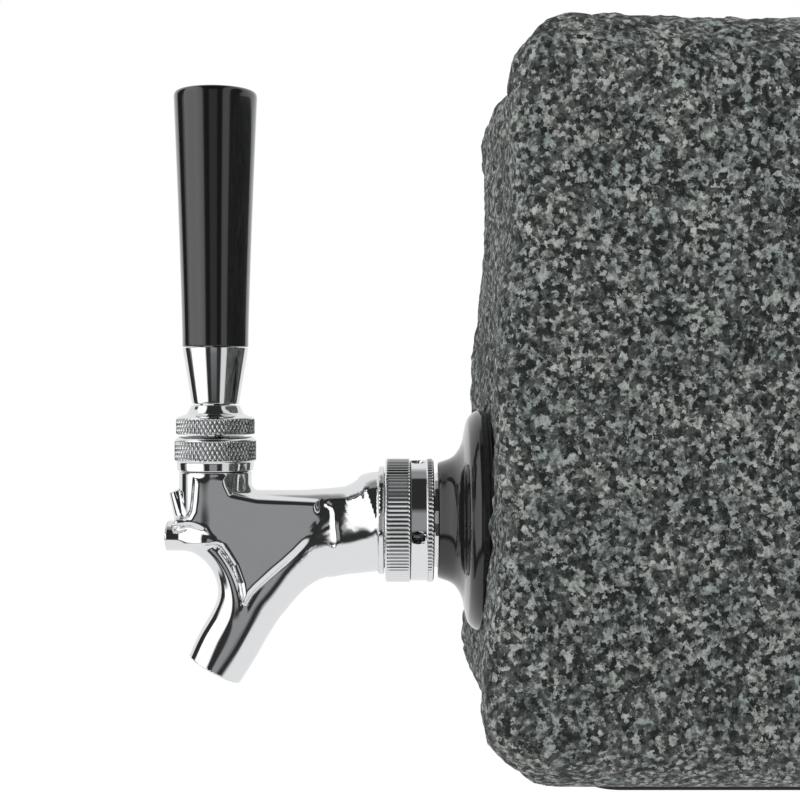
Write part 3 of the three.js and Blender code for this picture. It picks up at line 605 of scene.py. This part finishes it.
def meet(a, b, k):
    return -union(-a, -b, k)


def rod(radial, along, size, k=0.25):
    """A round rod (radius, low, high): radial distance met with its two end planes."""
    radius, low, high = size
    return meet(radial - radius, np.maximum(low - along, along - high), k)


class BodyField:
    """The casting's field. The side view's distances are kept for a grid of (y, z)."""

    def __init__(self):
        self.front = spline(FRONT_ARM, 110)
        self.rear = spline(REAR_ARM, 110)
        self.outlet = spline(OUTLET, 50)
        self.ridge = spline(RIDGE, 24)

    def side_view(self, y, z):
        front, front_size = nearest(self.front, y, z)
        rear, rear_size = nearest(self.rear, y, z)
        outlet, outlet_size = nearest(self.outlet, y, z)
        panel = outline_distance(PANEL, y, z)
        ridge = RIDGE_HEIGHT * np.exp(-(nearest(self.ridge, y, z)[0] / RIDGE_WIDTH) ** 2)
        return front, front_size, rear, rear_size, outlet, outlet_size, panel, ridge

    def value(self, x, y, z, side):
        front, front_size, rear, rear_size, outlet, outlet_size, panel, ridge = side
        side_x = np.abs(x)

        def arm(distance, size):
            return np.hypot(distance, x * size[..., 0] / size[..., 1]) - size[..., 0]

        bell = np.maximum(arm(rear, rear_size), y - BELL_BACK)
        nose = np.maximum(arm(front, front_size), NOSE_FRONT - y)
        arms = union(bell, nose, 0.8)
        around = np.hypot(x, y)
        level = np.hypot(x, z)
        whole = union(arms, rod(np.hypot(x, z + BARREL_DROP), y, BARREL), 3.0)
        whole = union(whole, rod(around, z, BOSS, 0.6), 2.5)
        whole = union(whole, rod(around, z, NECK, 0.4), 0.3)

        half = PANEL_HALF - PANEL_TAPER_BACK * np.maximum(y, 0)
        half = half - PANEL_TAPER_DOWN * np.maximum(-z - 2, 0)
        off_mound = (y - MOUND_AT[0]) ** 2 + (z - MOUND_AT[1]) ** 2
        half = half + MOUND * np.exp(-off_mound / MOUND_SPREAD)
        half = half + RIPPLE * np.sin(y * 0.42 + 0.5) * np.sin(z * 0.5 + 1.0)
        whole = union(whole, meet(panel, side_x - half, PANEL_EDGE), 0.8)
        whole = whole - ridge * smooth_step((side_x - 6) / 4)

        # How far down the vent stub from its mouth, and how far aside.
        run = (y - VENT_MOUTH[0]) * VENT_SLOPE[0] - (z - VENT_MOUTH[1]) * VENT_SLOPE[1]
        aside = (y - VENT_MOUTH[0]) * VENT_SLOPE[1] + (z - VENT_MOUTH[1]) * VENT_SLOPE[0]
        stub = np.hypot(aside, VENT_ROUND * x) - VENT_RADIUS - VENT_FLARE * run
        vent = meet(stub, np.maximum(-run, run - VENT_LENGTH), 0.5)
        whole = union(whole, vent, 1.0)

        past_end = (y - SPOUT_END[0]) * SPOUT_CUT[0] + (z - SPOUT_END[1]) * SPOUT_CUT[1]
        whole = meet(whole, past_end, 0.3)
        whole = union(whole, rod(level, y, REAR_DISC, 0.3), 0.5)
        whole = union(whole, rod(level, y, REAR_THREAD, 0.3), 0.1)

        bores = np.hypot(outlet, x) - outlet_size[..., 0]
        for size in (CHAMBER, GUIDE, POCKET):
            bores = np.minimum(bores, rod(level, y, size))
        for size in (SOCKET, THROAT):
            bores = np.minimum(bores, rod(around, z, size))
        bores = np.minimum(bores, rod(np.hypot(aside, x), run, (VENT_BORE, -2, VENT_LENGTH)))
        return meet(whole, -bores, 0.2)

    def __call__(self, p):
        side = self.side_view(p[:, 1], p[:, 2])
        return self.value(p[:, 0], p[:, 1], p[:, 2], side)

    def slope(self, p, step=0.06):
        """Central differences of the field along x, y and z."""
        shifts = np.eye(3) * step
        return np.stack([(self(p + s) - self(p - s)) / (2 * step) for s in shifts], axis=-1)


def surface_net(field, low, high, cell):
    """One point in each grid cell that the surface crosses, one quad on each edge it cuts."""
    axes = [np.arange(a, b + cell, cell) for a, b in zip(low, high)]
    y, z = np.meshgrid(axes[1], axes[2], indexing="ij")
    side = field.side_view(y, z)
    grid = np.stack([field.value(np.full(y.shape, x), y, z, side) for x in axes[0]])
    inside = grid < 0
    shape = np.array(inside.shape) - 1
    corners = [inside[i:i + shape[0], j:j + shape[1], k:k + shape[2]]
               for i in (0, 1) for j in (0, 1) for k in (0, 1)]
    count = np.sum(corners, axis=0)
    active = (count > 0) & (count < 8)
    number = np.full(active.shape, -1)
    number[active] = np.arange(active.sum())
    where = np.argwhere(active)
    points = np.array(low) + (where + 0.5) * cell
    faces = []
    for axis in range(3):
        one, two = [(1, 2), (2, 0), (0, 1)][axis]
        first = np.take(inside, range(inside.shape[axis] - 1), axis=axis)
        second = np.take(inside, range(1, inside.shape[axis]), axis=axis)
        for flip, crossing in ((False, first & ~second), (True, ~first & second)):
            at = np.argwhere(crossing)
            ok = (at[:, one] > 0) & (at[:, two] > 0)
            ok &= (at[:, one] < shape[one]) & (at[:, two] < shape[two])
            at = at[ok]
            back_one = np.eye(3, dtype=int)[one]
            back_two = np.eye(3, dtype=int)[two]
            ring = [at - back_one - back_two, at - back_two, at, at - back_one]
            quad = np.stack([number[tuple(cell_.T)] for cell_ in ring], axis=-1)
            faces.append(quad[:, ::-1] if flip else quad)
    return points, faces


BODY_LOW, BODY_HIGH = (-17.3, -16.1, -52.1), (17.3, 58.1, 21.1)
LONGEST_MOVE = 0.45  # of a cell, in one step on to the surface


def make_body():
    """The casting: grid points moved on to the field's zero by p - f grad f / |grad f|^2."""
    field = BodyField()
    cell = bpy.context.scene.tap_tower.body_cell
    points, faces = surface_net(field, BODY_LOW, BODY_HIGH, cell)
    for _ in range(5):
        value = field(points)
        slope = field.slope(points)
        move = slope * (value / np.maximum((slope ** 2).sum(1), 0.2))[:, None]
        points = points - np.clip(move, -cell * LONGEST_MOVE, cell * LONGEST_MOVE)
    slope = field.slope(points, 0.12)
    normals = slope / np.maximum(np.linalg.norm(slope, axis=1), 1e-9)[:, None]
    points = points + np.array([AXIS_X, HANDLE_Y, SHANK_Z])
    body = mesh_object("tap_body", points, faces, normals=normals)
    return finish_piece(body, "tower", ["faucet_body"], chrome())


# ---- Turned pieces ----

FIT = 0.3
GRIP_FOOT, GRIP_BULGE = 10.0, 1.25  # radius at the foot, and the power of the side's curve
STUD_BORE = 5.06
BALL_HEIGHT = 14.0
COLLAR_RADIUS, COLLAR_BAND = 11.93, 5.0
BONNET_RADIUS, NECK_BORE, NECK_TOP = 12.4, 9.9, 20.0
NUT_RADIUS, NUT_BORE, NUT_BAND, NUT_LIP = 18.75, 14.6, 7.4, 4.4
TOOTH_DEPTH = 0.36
HOLE_RADIUS, HOLE_DEPTH, HOLE_AT, HOLE_TURN = 1.95, 2.6, 9.8, -12.4
SHANK_BORE = 11.4
FLANGE_RADIUS, FLANGE_HOLLOW, FLANGE_SLEEVE = 33.4, 4.2, 11.5

def make_grip():
    """Tapered grip: r = r0 + (r1 - r0) t^1.25, with a rolled top edge."""
    foot, top = heights("handle_grip")
    low, high = span("handle_grip")
    widest = (high[0] - low[0]) / 2
    insert_top = heights("handle_insert")[1] + FIT
    insert_low, insert_high = span("handle_insert")
    bore = (insert_high[0] - insert_low[0]) / 2 + FIT
    side = [(GRIP_FOOT + (widest - GRIP_FOOT) * t ** GRIP_BULGE, foot + t * (top - foot))
            for t in np.linspace(0, 1, 15)]
    corners = [(0, insert_top), (bore, insert_top), (bore, foot, 0.3)]
    corners += [(side[0][0], foot, 0.4)] + side[1:-1] + [(side[-1][0], top, 1.7), (0, top)]
    grip = lathe("grip", corners[::-1], "Z", step=1.5, edge_angle=50)
    finish_piece(grip, "handle", ["handle_grip"], grip_plastic())


def make_ferrule():
    foot, top = heights("handle_ferrule")
    corners = [
        (STUD_BORE, foot, 0.2), (7.1, foot, 0.35), (9.75, top - 1.3, 0.6), (9.95, top, 0.25),
        (STUD_BORE, top, 0.2),
    ]
    cone = lathe("ferrule", corners, "Z", step=1.0)
    finish_piece(cone, "handle", ["handle_ferrule"], chrome())


def make_collar():
    """Jam collar: a knurled band under a flared neck, hollow on a sphere underneath."""
    settings = bpy.context.scene.tap_tower
    foot, top = heights("jam_collar")
    band = foot + COLLAR_BAND
    sphere = np.hypot(COLLAR_RADIUS - 0.1, foot - BALL_HEIGHT)
    under = [(r, BALL_HEIGHT + np.sqrt(sphere ** 2 - r ** 2)) for r in (9.5, 7.3, STUD_BORE)]
    corners = [
        (STUD_BORE, top, 0.2), (7.3, top, 0.3), (8.0, top - 1.5, 0.4), (8.7, band + 1.3, 0.5),
        (11.2, band + 0.4, 0.5), (COLLAR_RADIUS, band, 0.4), (COLLAR_RADIUS, foot, 0.35),
    ] + under
    relief = diamonds(foot + 0.2, band - 0.1, COLLAR_RADIUS, settings.knurl_count,
                      settings.knurl_depth)
    piece = lathe("collar", corners, "Z", facets=settings.knurl_count * 8, step=0.34,
                  relief=relief, edge_angle=60)
    finish_piece(piece, "handle", ["jam_collar"], chrome())


def make_bonnet():
    settings = bpy.context.scene.tap_tower
    foot, top = heights("bonnet")
    lip = NECK_TOP + 0.6
    corners = [
        (NECK_BORE, foot, 0.2), (11.5, foot, 0.3), (11.75, foot + 2.7, 0.3),
        (BONNET_RADIUS, foot + 3.1, 0.3), (BONNET_RADIUS, top - 1.3, 0.4), (11.1, top, 0.4),
        (9.0, top, 0.2), (6.5, lip, 0.1), (NECK_BORE, lip, 0.1),
    ]
    relief = diamonds(foot + 3.2, top - 1.4, BONNET_RADIUS, settings.knurl_count,
                      settings.knurl_depth)
    piece = lathe("bonnet_nut", corners, "Z", facets=settings.knurl_count * 8, step=0.34,
                  relief=relief, edge_angle=60)
    finish_piece(piece, "tower", ["bonnet"], chrome())


def make_coupling_nut():
    """Coupling nut: a toothed band, a plain band with four round holes, a narrow toothed band."""
    settings = bpy.context.scene.tap_tower
    front, back = reach("coupling_nut")
    count = settings.spline_count
    hole_y = front + HOLE_AT
    hole_angles = [radians(HOLE_TURN) + i * pi / 2 for i in range(4)]

    def relief(angle, radius, h):
        tooth = 1 - smooth_step(wedge(angle * count / (2 * pi)) * 1.3)
        wide = smooth_step((h - front - 0.5) / 0.3)
        wide = wide * smooth_step((front + NUT_BAND - h) / 0.3)
        narrow = smooth_step((h - back + 2.0) / 0.25) * smooth_step((back - 0.35 - h) / 0.25)
        outer = smooth_step((radius - 17.9) / 0.3)
        cut = TOOTH_DEPTH * tooth * np.maximum(wide, narrow) * outer
        for centre in hole_angles:
            turn = (angle - centre + pi) % (2 * pi) - pi
            away = np.hypot(turn * NUT_RADIUS, h - hole_y)
            cut = cut + HOLE_DEPTH * smooth_step((HOLE_RADIUS - away) / 0.3) * outer
        return cut

    corners = [
        (NUT_BORE, front, 0.2), (18.25, front, 0.3), (NUT_RADIUS, front + 0.5, 0.2),
        (NUT_RADIUS, front + NUT_BAND, 0.2), (18.35, front + 7.8, 0.2),
        (18.35, back - 2.2, 0.2), (NUT_RADIUS, back - 1.9, 0.2), (NUT_RADIUS, back - 0.4, 0.3),
        (18.3, back, 0.3), (SHANK_BORE, back, 0.2), (SHANK_BORE, back - NUT_LIP, 0.1),
        (NUT_BORE, back - NUT_LIP, 0.1),
    ]
    piece = lathe("coupling_nut_turned", corners, "Y", facets=count * 8, step=0.5,
                  relief=relief, edge_angle=55, steps=4)
    finish_piece(piece, "tower", ["coupling_nut"], chrome())


def make_flange():
    """Wall flange: a trumpet outline from its neck out to a rolled rim."""
    front, back = reach("wall_flange")
    flare = [(17.5, 0.0), (19, 0.28), (21, 0.42), (24, 0.52), (27.5, 0.57), (31, 0.64),
             (33.2, 0.8), (FLANGE_RADIUS, 0.985)]
    depth = back - front
    curve = spline(flare, 40)
    outer = [(r, front + t * depth) for r, t in curve]
    corners = [(14.6, front, 0.2), (17.5, front, 0.5)] + outer[2:] + [
        (33.3, back, 0.2), (29.4, back, 0.3), (28.4, back - FLANGE_HOLLOW, 0.5),
        (15.4, back - FLANGE_HOLLOW, 0.5), (15.4, back, 0.3), (SHANK_BORE, back, 0.2),
        (SHANK_BORE, back - FLANGE_SLEEVE, 0.1), (14.6, back - FLANGE_SLEEVE, 0.1),
    ]
    piece = lathe("flange", corners, "Y", facets=160, step=0.8, edge_angle=60)
    finish_piece(piece, "tower", ["wall_flange"], flange_gloss())


# ---- Stone ----

STONE_SIZE = np.array([152.0, 152.0, 210.0])
SIDE_ROUND = 9.0  # radius of the upright edges
WORN_IN, WORN_DOWN = 28.0, 23.0  # how far the top and bottom edges are worn
TAPER, TAPER_LEVEL = 0.1, 0.3
WAVES = 1.5
CHIPS = [(0.9, 7, 3), (0.8, 3.6, 5), (0.6, 2.0, 7)]  # (share of the relief, size, seed)
LATTICE = 64  # random values along each side before they repeat
CORE_RADIUS, CORE_HEIGHT = 35.0, 150.0
DRILLING_RADIUS, SEAT_RADIUS, SOCKET_RADIUS = 12.0, 35.4, 6.3

def value_noise(p, size, seed):
    """Random values on a lattice of the given size, blended between its corners."""
    table = np.random.default_rng(seed).random((LATTICE, LATTICE, LATTICE))
    q = p / size
    cell = np.floor(q).astype(int)
    f = smooth_step(q - cell)
    total = np.zeros(len(p))
    for i in (0, 1):
        for j in (0, 1):
            for k in (0, 1):
                weight = (np.where(i, f[:, 0], 1 - f[:, 0]) * np.where(j, f[:, 1], 1 - f[:, 1])
                          * np.where(k, f[:, 2], 1 - f[:, 2]))
                at = (cell + np.array([i, j, k])) % LATTICE
                total += weight * table[at[:, 0], at[:, 1], at[:, 2]]
    return total * 2 - 1


def hewn(p, relief):
    """The block: upright edges rounded, top and bottom edges worn to an ellipse, the plan
    shrunk towards the top, long waves on the faces, then three sizes of chips."""
    half = STONE_SIZE / 2
    x, y, z = p.T.copy()
    inside = np.minimum(half[0] - np.abs(x), half[1] - np.abs(y))
    over_x = np.maximum(np.abs(x) - (half[0] - SIDE_ROUND), 0)
    over_y = np.maximum(np.abs(y) - (half[1] - SIDE_ROUND), 0)
    both = (over_x > 0) & (over_y > 0)
    slant = np.maximum(np.hypot(over_x, over_y), TINY)
    shrink = np.where(both, np.maximum(over_x, over_y) / slant, 1)
    x = x - np.sign(x) * over_x * (1 - shrink)
    y = y - np.sign(y) * over_y * (1 - shrink)
    from_end = half[2] - np.abs(z)
    edge = (inside < WORN_IN) & (from_end < WORN_DOWN)
    across = (WORN_IN - inside) / WORN_IN
    along = (WORN_DOWN - from_end) / WORN_DOWN
    length = np.maximum(np.hypot(across, along), TINY)
    new_inside = WORN_IN * (1 - across / length)
    plan = np.maximum(np.maximum(np.abs(x), np.abs(y)), TINY)
    scale = np.where(edge, (plan - (new_inside - inside)) / plan, 1)
    x, y = x * scale, y * scale
    z = np.where(edge, np.sign(z) * (half[2] - WORN_DOWN * (1 - along / length)), z)
    level = (z + half[2]) / STONE_SIZE[2]
    taper = 1 - TAPER * (level - TAPER_LEVEL)
    out = (np.stack([x, y, z], axis=1) / half) ** 9
    out = out / np.maximum(np.linalg.norm(out, axis=1), TINY)[:, None]
    wave = WAVES * (np.sin(x / 21 + z / 34 + 0.6) * np.sin(y / 25 - z / 29 + 1.1)
                    + 0.6 * np.sin(z / 13 + y / 31) * np.cos(x / 17 - 0.4))
    rise = np.clip(level * 12, 0, 1)
    bent = np.stack([x * taper, y * taper, z], axis=1)
    chips = sum(share * value_noise(bent, size, seed) for share, size, seed in CHIPS)
    push = out * ((wave + relief * chips) * rise)[:, None]
    point = bent + push
    point[:, 2] = np.maximum(point[:, 2], -half[2])
    return point


def make_stone():
    """Six grid patches of a box, mapped by the hewn form, then bored as the CAD stone is."""
    settings = bpy.context.scene.tap_stone
    n = 118
    a = np.linspace(-1, 1, n + 1)
    u, v = np.meshgrid(a, a, indexing="ij")
    one = np.ones_like(u)
    half = STONE_SIZE / 2
    patches = [(one, u, v), (-one, v, u), (u, -one, v), (v, one, u), (u, v, one), (v, u, -one)]
    grid = np.concatenate([np.stack(patch, axis=-1).reshape(-1, 3) for patch in patches]) * half
    i, j = np.meshgrid(np.arange(n), np.arange(n), indexing="ij")
    corner = (i * (n + 1) + j).ravel()
    quad = np.stack([corner, corner + n + 1, corner + n + 2, corner + 1], axis=-1)
    faces = [quad + k * (n + 1) ** 2 for k in range(6)]
    points = hewn(grid, settings.relief)
    points = points + np.array([STONE_AXIS[0], STONE_AXIS[1], STONE_FOOT + half[2]])
    stone = mesh_object("stone", points, faces)
    shape = bmesh.new()
    shape.from_mesh(stone.data)
    bmesh.ops.remove_doubles(shape, verts=shape.verts, dist=0.00002)
    bmesh.ops.recalc_face_normals(shape, faces=shape.faces)
    shape.to_mesh(stone.data)
    shape.free()
    cut_stone(stone)
    stone.data.shade_smooth()
    stone.data.set_sharp_from_angle(angle=radians(50))
    finish_piece(stone, "tower", ["stone_block"], granite())


def cylinder_cutter(radius, start, end, facets=96):
    """A closed round cutter between two points."""
    start, end = Vector(start) * MM, Vector(end) * MM
    axis = end - start
    shape = bmesh.new()
    bmesh.ops.create_cone(shape, cap_ends=True, segments=facets, radius1=radius * MM,
                          radius2=radius * MM, depth=axis.length)
    turn = Vector((0, 0, 1)).rotation_difference(axis).to_matrix().to_4x4()
    shape.transform(turn)
    bmesh.ops.translate(shape, verts=shape.verts, vec=(start + end) / 2)
    mesh = bpy.data.meshes.new("cutter")
    shape.to_mesh(mesh)
    shape.free()
    cutter = bpy.data.objects.new("cutter", mesh)
    bpy.context.scene.collection.objects.link(cutter)
    return cutter


def cut_stone(stone):
    """Core from below, drilling for the shank, ground seat, and four insert sockets."""
    x, y = STONE_AXIS[0], STONE_AXIS[1]
    below = STONE_FOOT - 5
    ahead = y - 200
    seat_y = span("flange_gasket")[1][1] + FIT / 2
    cutters = [
        cylinder_cutter(CORE_RADIUS, (x, y, below), (x, y, STONE_FOOT + CORE_HEIGHT)),
        cylinder_cutter(DRILLING_RADIUS, (x, ahead, SHANK_Z), (x, y, SHANK_Z)),
        cylinder_cutter(SEAT_RADIUS, (x, ahead, SHANK_Z), (x, seat_y, SHANK_Z)),
    ]
    for i in range(1, 5):
        x, y = middle(f"base_insert_{i}")[:2]
        top = span(f"base_insert_{i}")[1][2] + FIT
        cutters.append(cylinder_cutter(SOCKET_RADIUS, (x, y, below), (x, y, top), 48))
    for cutter in cutters:
        difference = stone.modifiers.new("bore", "BOOLEAN")
        difference.operation = "DIFFERENCE"
        difference.solver = "MANIFOLD"
        difference.object = cutter
        depsgraph = bpy.context.evaluated_depsgraph_get()
        result = bpy.data.meshes.new_from_object(stone.evaluated_get(depsgraph))
        stone.modifiers.clear()
        stone.data = result
        bpy.data.objects.remove(cutter)


# ---- Finishes on the CAD pieces that stay ----

KEPT = {
    "handle_insert": brass, "lever": chrome, "friction_ring": nylon, "ball_washer": rubber,
    "valve_shaft": steel, "seat_washer": rubber, "seat_nut": brass, "coupling_washer": rubber,
    "snap_ring": steel, "shank": chrome, "flange_gasket": rubber, "saddle_washer": steel,
    "shank_locknut": brass, "tail_washer": rubber, "tail_nut": brass, "tail_elbow": chrome,
    "base_gasket": rubber,
}


def finish_kept_pieces():
    finishes = dict(KEPT)
    finishes.update({f"base_insert_{i}": brass for i in range(1, 5)})
    for name, make in finishes.items():
        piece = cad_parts[name]
        material = make()
        if not piece.material_slots:
            raise RuntimeError(f"{name} has no material slot")
        for slot in piece.material_slots:
            slot.material = material


# ---- Stage ----


def direction_pattern(tree):
    """Soft boxes and black cards round the piece, by the direction (x, y, z) of a ray."""
    link = tree.links.new
    place = node(tree, "ShaderNodeTexCoord", (-1400, 0))
    split = node(tree, "ShaderNodeSeparateXYZ", (-1200, 0))
    link(place.outputs["Generated"], split.inputs[0])

    def ramp(stops, where):
        scaled = node(tree, "ShaderNodeMapRange", (-1000, where), sockets={"From Min": -1.0})
        link(split.outputs["Y"], scaled.inputs["Value"])
        made = node(tree, "ShaderNodeValToRGB", (-800, where))
        elements = made.color_ramp.elements
        for i, (at, value) in enumerate(stops):
            stop = elements[i] if i < 2 else elements.new((at + 1) / 2)
            stop.position = (at + 1) / 2
            stop.color = (value, value, value * (1.02 if value < 0.5 else 1.0), 1)
        link(scaled.outputs["Result"], made.inputs["Fac"])
        return made.outputs["Color"]

    def above(socket, level, width, where):
        made = node(tree, "ShaderNodeMapRange", (-800, where),
                    sockets={"From Min": level - width, "From Max": level + width})
        link(socket, made.inputs["Value"])
        return made.outputs["Result"]

    def mix(factor, a, b, where):
        made = node(tree, "ShaderNodeMix", (-400, where), data_type="RGBA")
        link(factor, made.inputs["Factor"])
        for socket, value in (("A", a), ("B", b)):
            if isinstance(value, float):
                made.inputs[socket].default_value = (value, value, value, 1)
            else:
                link(value, made.inputs[socket])
        return made.outputs["Result"]

    left_white = [(-1, 1.3), (-0.76, 1.6), (-0.5, 1.2), (-0.44, 0.03), (-0.22, 0.03)]
    left_dark = [(-1, 0.04), (-0.22, 0.03)]
    right = [(0.22, 0.03), (0.42, 0.03), (0.46, 0.8), (0.7, 0.8), (0.74, 0.08),
             (0.95, 0.08), (0.98, 0.8)]
    grey = [(-0.16, 0.31), (0.16, 0.31)]
    level_ramp = ramp(left_white + grey + right, 0)
    band_ramp = ramp(left_white + right, -300)
    low_ramp = ramp(left_dark + right, -450)
    back_ramp = ramp([(-1, 1.0), (-0.975, 0.03), (-0.84, 0.03), (-0.82, 0.9), (1, 0.9)], -600)
    rise = split.outputs["Z"]
    upper = above(rise, 0.36, 0.08, 300)
    lower = above(rise, -0.3, 0.05, 400)
    dip = above(rise, -0.36, 0.04, 600)
    floor = above(rise, -0.5, 0.05, 500)
    behind = above(split.outputs["X"], 0.0, 0.02, 700)
    crown = above(rise, 0.9, 0.05, 800)
    front = mix(upper, level_ramp, band_ramp, 0)
    front = mix(lower, band_ramp, front, -50)
    front = mix(dip, low_ramp, front, -100)
    back = mix(crown, back_ramp, 0.3, -150)
    around = mix(behind, back, front, -200)
    return mix(floor, 0.9, around, -400)


def make_world():
    world = bpy.data.worlds.new("Studio")
    bpy.context.scene.world = world
    world.use_nodes = True
    tree = world.node_tree
    tree.nodes.clear()
    link = tree.links.new
    pattern = direction_pattern(tree)
    lit = node(tree, "ShaderNodeBackground", (0, 0))
    link(pattern, lit.inputs["Color"])
    plain = node(tree, "ShaderNodeBackground", (0, -200), sockets={"Color": (1, 1, 1, 1)})
    path = node(tree, "ShaderNodeLightPath", (0, 300))
    chosen = node(tree, "ShaderNodeMixShader", (250, 0))
    link(path.outputs["Is Camera Ray"], chosen.inputs[0])
    link(lit.outputs[0], chosen.inputs[1])
    link(plain.outputs[0], chosen.inputs[2])
    out = node(tree, "ShaderNodeOutputWorld", (450, 0))
    link(chosen.outputs[0], out.inputs["Surface"])


def make_floor():
    """A pale floor that mirrors don't see, so the soft boxes alone shape the chrome."""
    edge, level = 6000.0, -0.4
    corners = [(-edge, -edge), (edge, -edge), (edge, edge), (-edge, edge)]
    points = np.array([(x, y, level) for x, y in corners])
    floor = mesh_object("floor", points, [np.array([[0, 1, 2, 3]])])
    material = bpy.data.materials.new("Pale floor")
    material.use_nodes = True
    tree = material.node_tree
    tree.nodes.clear()
    link = tree.links.new
    path = node(tree, "ShaderNodeLightPath", (-400, 200))
    matt = node(tree, "ShaderNodeBsdfDiffuse", (-400, 0), sockets={"Color": (0.85, 0.85, 0.85, 1)})
    glow = node(tree, "ShaderNodeEmission", (-400, -200), sockets={"Strength": 1.06})
    pale = node(tree, "ShaderNodeMixShader", (-150, 0), sockets={0: 0.94})
    link(matt.outputs[0], pale.inputs[1])
    link(glow.outputs[0], pale.inputs[2])
    clear = node(tree, "ShaderNodeBsdfTransparent", (-150, -200))
    chosen = node(tree, "ShaderNodeMixShader", (100, 0))
    link(path.outputs["Is Glossy Ray"], chosen.inputs[0])
    link(pale.outputs[0], chosen.inputs[1])
    link(clear.outputs[0], chosen.inputs[2])
    out = node(tree, "ShaderNodeOutputMaterial", (300, 0))
    link(chosen.outputs[0], out.inputs["Surface"])
    floor.data.materials.append(material)


def make_camera():
    settings = bpy.context.scene.tap_stage
    data = bpy.data.cameras.new("camera")
    data.lens = settings.lens
    data.sensor_width = 36.0
    data.clip_end = 50.0
    camera = bpy.data.objects.new("camera", data)
    camera.location = (settings.distance, (HANDLE_Y + 56.3) * MM, (SHANK_Z + 36.6) * MM)
    camera.rotation_euler = (pi / 2, 0, pi / 2)
    bpy.context.scene.collection.objects.link(camera)
    bpy.context.scene.camera = camera


def make_light():
    data = bpy.data.lights.new("soft_box", "AREA")
    data.energy = 6.0
    data.size = 0.6
    lamp = bpy.data.objects.new("soft_box", data)
    lamp.location = (0.7, -0.2, 0.9)
    aim = Vector((0, 0.02, 0.1)) - lamp.location
    lamp.rotation_euler = aim.to_track_quat("-Z", "Y").to_euler()
    lamp.visible_glossy = False
    bpy.context.scene.collection.objects.link(lamp)


# ---- Operators ----


class TAP_OT_stage(bpy.types.Operator):
    """Camera, soft light and floor"""

    bl_idname = "tap.stage"
    bl_label = "Stage"

    def execute(self, context):
        make_camera()
        make_world()
        make_floor()
        make_light()
        return {"FINISHED"}


class TAP_OT_grip(bpy.types.Operator):
    """Tapered grip and the cone under it"""

    bl_idname = "tap.grip"
    bl_label = "Grip and Ferrule"

    def execute(self, context):
        make_grip()
        make_ferrule()
        return {"FINISHED"}


class TAP_OT_collars(bpy.types.Operator):
    """The two knurled pieces under the handle"""

    bl_idname = "tap.collars"
    bl_label = "Collar and Bonnet"

    def execute(self, context):
        make_collar()
        make_bonnet()
        return {"FINISHED"}


class TAP_OT_body(bpy.types.Operator):
    """The cast body with spout, panel and vent"""

    bl_idname = "tap.body"
    bl_label = "Tap Body"

    def execute(self, context):
        make_body()
        return {"FINISHED"}


class TAP_OT_coupling(bpy.types.Operator):
    """The toothed nut behind the body"""

    bl_idname = "tap.coupling"
    bl_label = "Coupling Nut"

    def execute(self, context):
        make_coupling_nut()
        return {"FINISHED"}


class TAP_OT_flange(bpy.types.Operator):
    """The glossy flange against the stone"""

    bl_idname = "tap.flange"
    bl_label = "Wall Flange"

    def execute(self, context):
        make_flange()
        return {"FINISHED"}


class TAP_OT_stone(bpy.types.Operator):
    """The hewn granite block with its bores"""

    bl_idname = "tap.stone"
    bl_label = "Stone"

    def execute(self, context):
        make_stone()
        return {"FINISHED"}


class TAP_OT_kept(bpy.types.Operator):
    """Finishes on the pieces that keep their CAD form"""

    bl_idname = "tap.kept"
    bl_label = "Inner Pieces"

    def execute(self, context):
        finish_kept_pieces()
        return {"FINISHED"}


OPERATORS = [
    TAP_OT_stage, TAP_OT_grip, TAP_OT_collars, TAP_OT_body, TAP_OT_coupling, TAP_OT_flange,
    TAP_OT_stone, TAP_OT_kept,
]


class TAP_PT_tower(bpy.types.Panel):
    """Buttons and sizes of the tap tower"""

    bl_idname = "TAP_PT_tower"
    bl_label = "Tap Tower"
    bl_space_type = "VIEW_3D"
    bl_region_type = "UI"
    bl_category = "Tap Tower"

    def draw(self, context):
        for settings in (context.scene.tap_tower, context.scene.tap_stone, context.scene.tap_stage):
            box = self.layout.box()
            for name in settings.__annotations__:
                box.prop(settings, name)
        for made in OPERATORS:
            self.layout.operator(made.bl_idname)


SETTINGS = {"tap_tower": TapSettings, "tap_stone": StoneSettings, "tap_stage": StageSettings}


def register():
    for name, group in SETTINGS.items():
        bpy.utils.register_class(group)
        setattr(bpy.types.Scene, name, bpy.props.PointerProperty(type=group))
    for made in OPERATORS:
        bpy.utils.register_class(made)
    bpy.utils.register_class(TAP_PT_tower)


def unregister():
    bpy.utils.unregister_class(TAP_PT_tower)
    for made in reversed(OPERATORS):
        bpy.utils.unregister_class(made)
    for name, group in SETTINGS.items():
        delattr(bpy.types.Scene, name)
        bpy.utils.unregister_class(group)


def main():
    register()
    bpy.context.scene.view_settings.view_transform = "Standard"
    bpy.ops.tap.stage()
    bpy.ops.tap.grip()
    bpy.ops.tap.collars()
    bpy.ops.tap.body()
    bpy.ops.tap.coupling()
    bpy.ops.tap.flange()
    bpy.ops.tap.stone()
    bpy.ops.tap.kept()


if __name__ == "__main__":
    main()
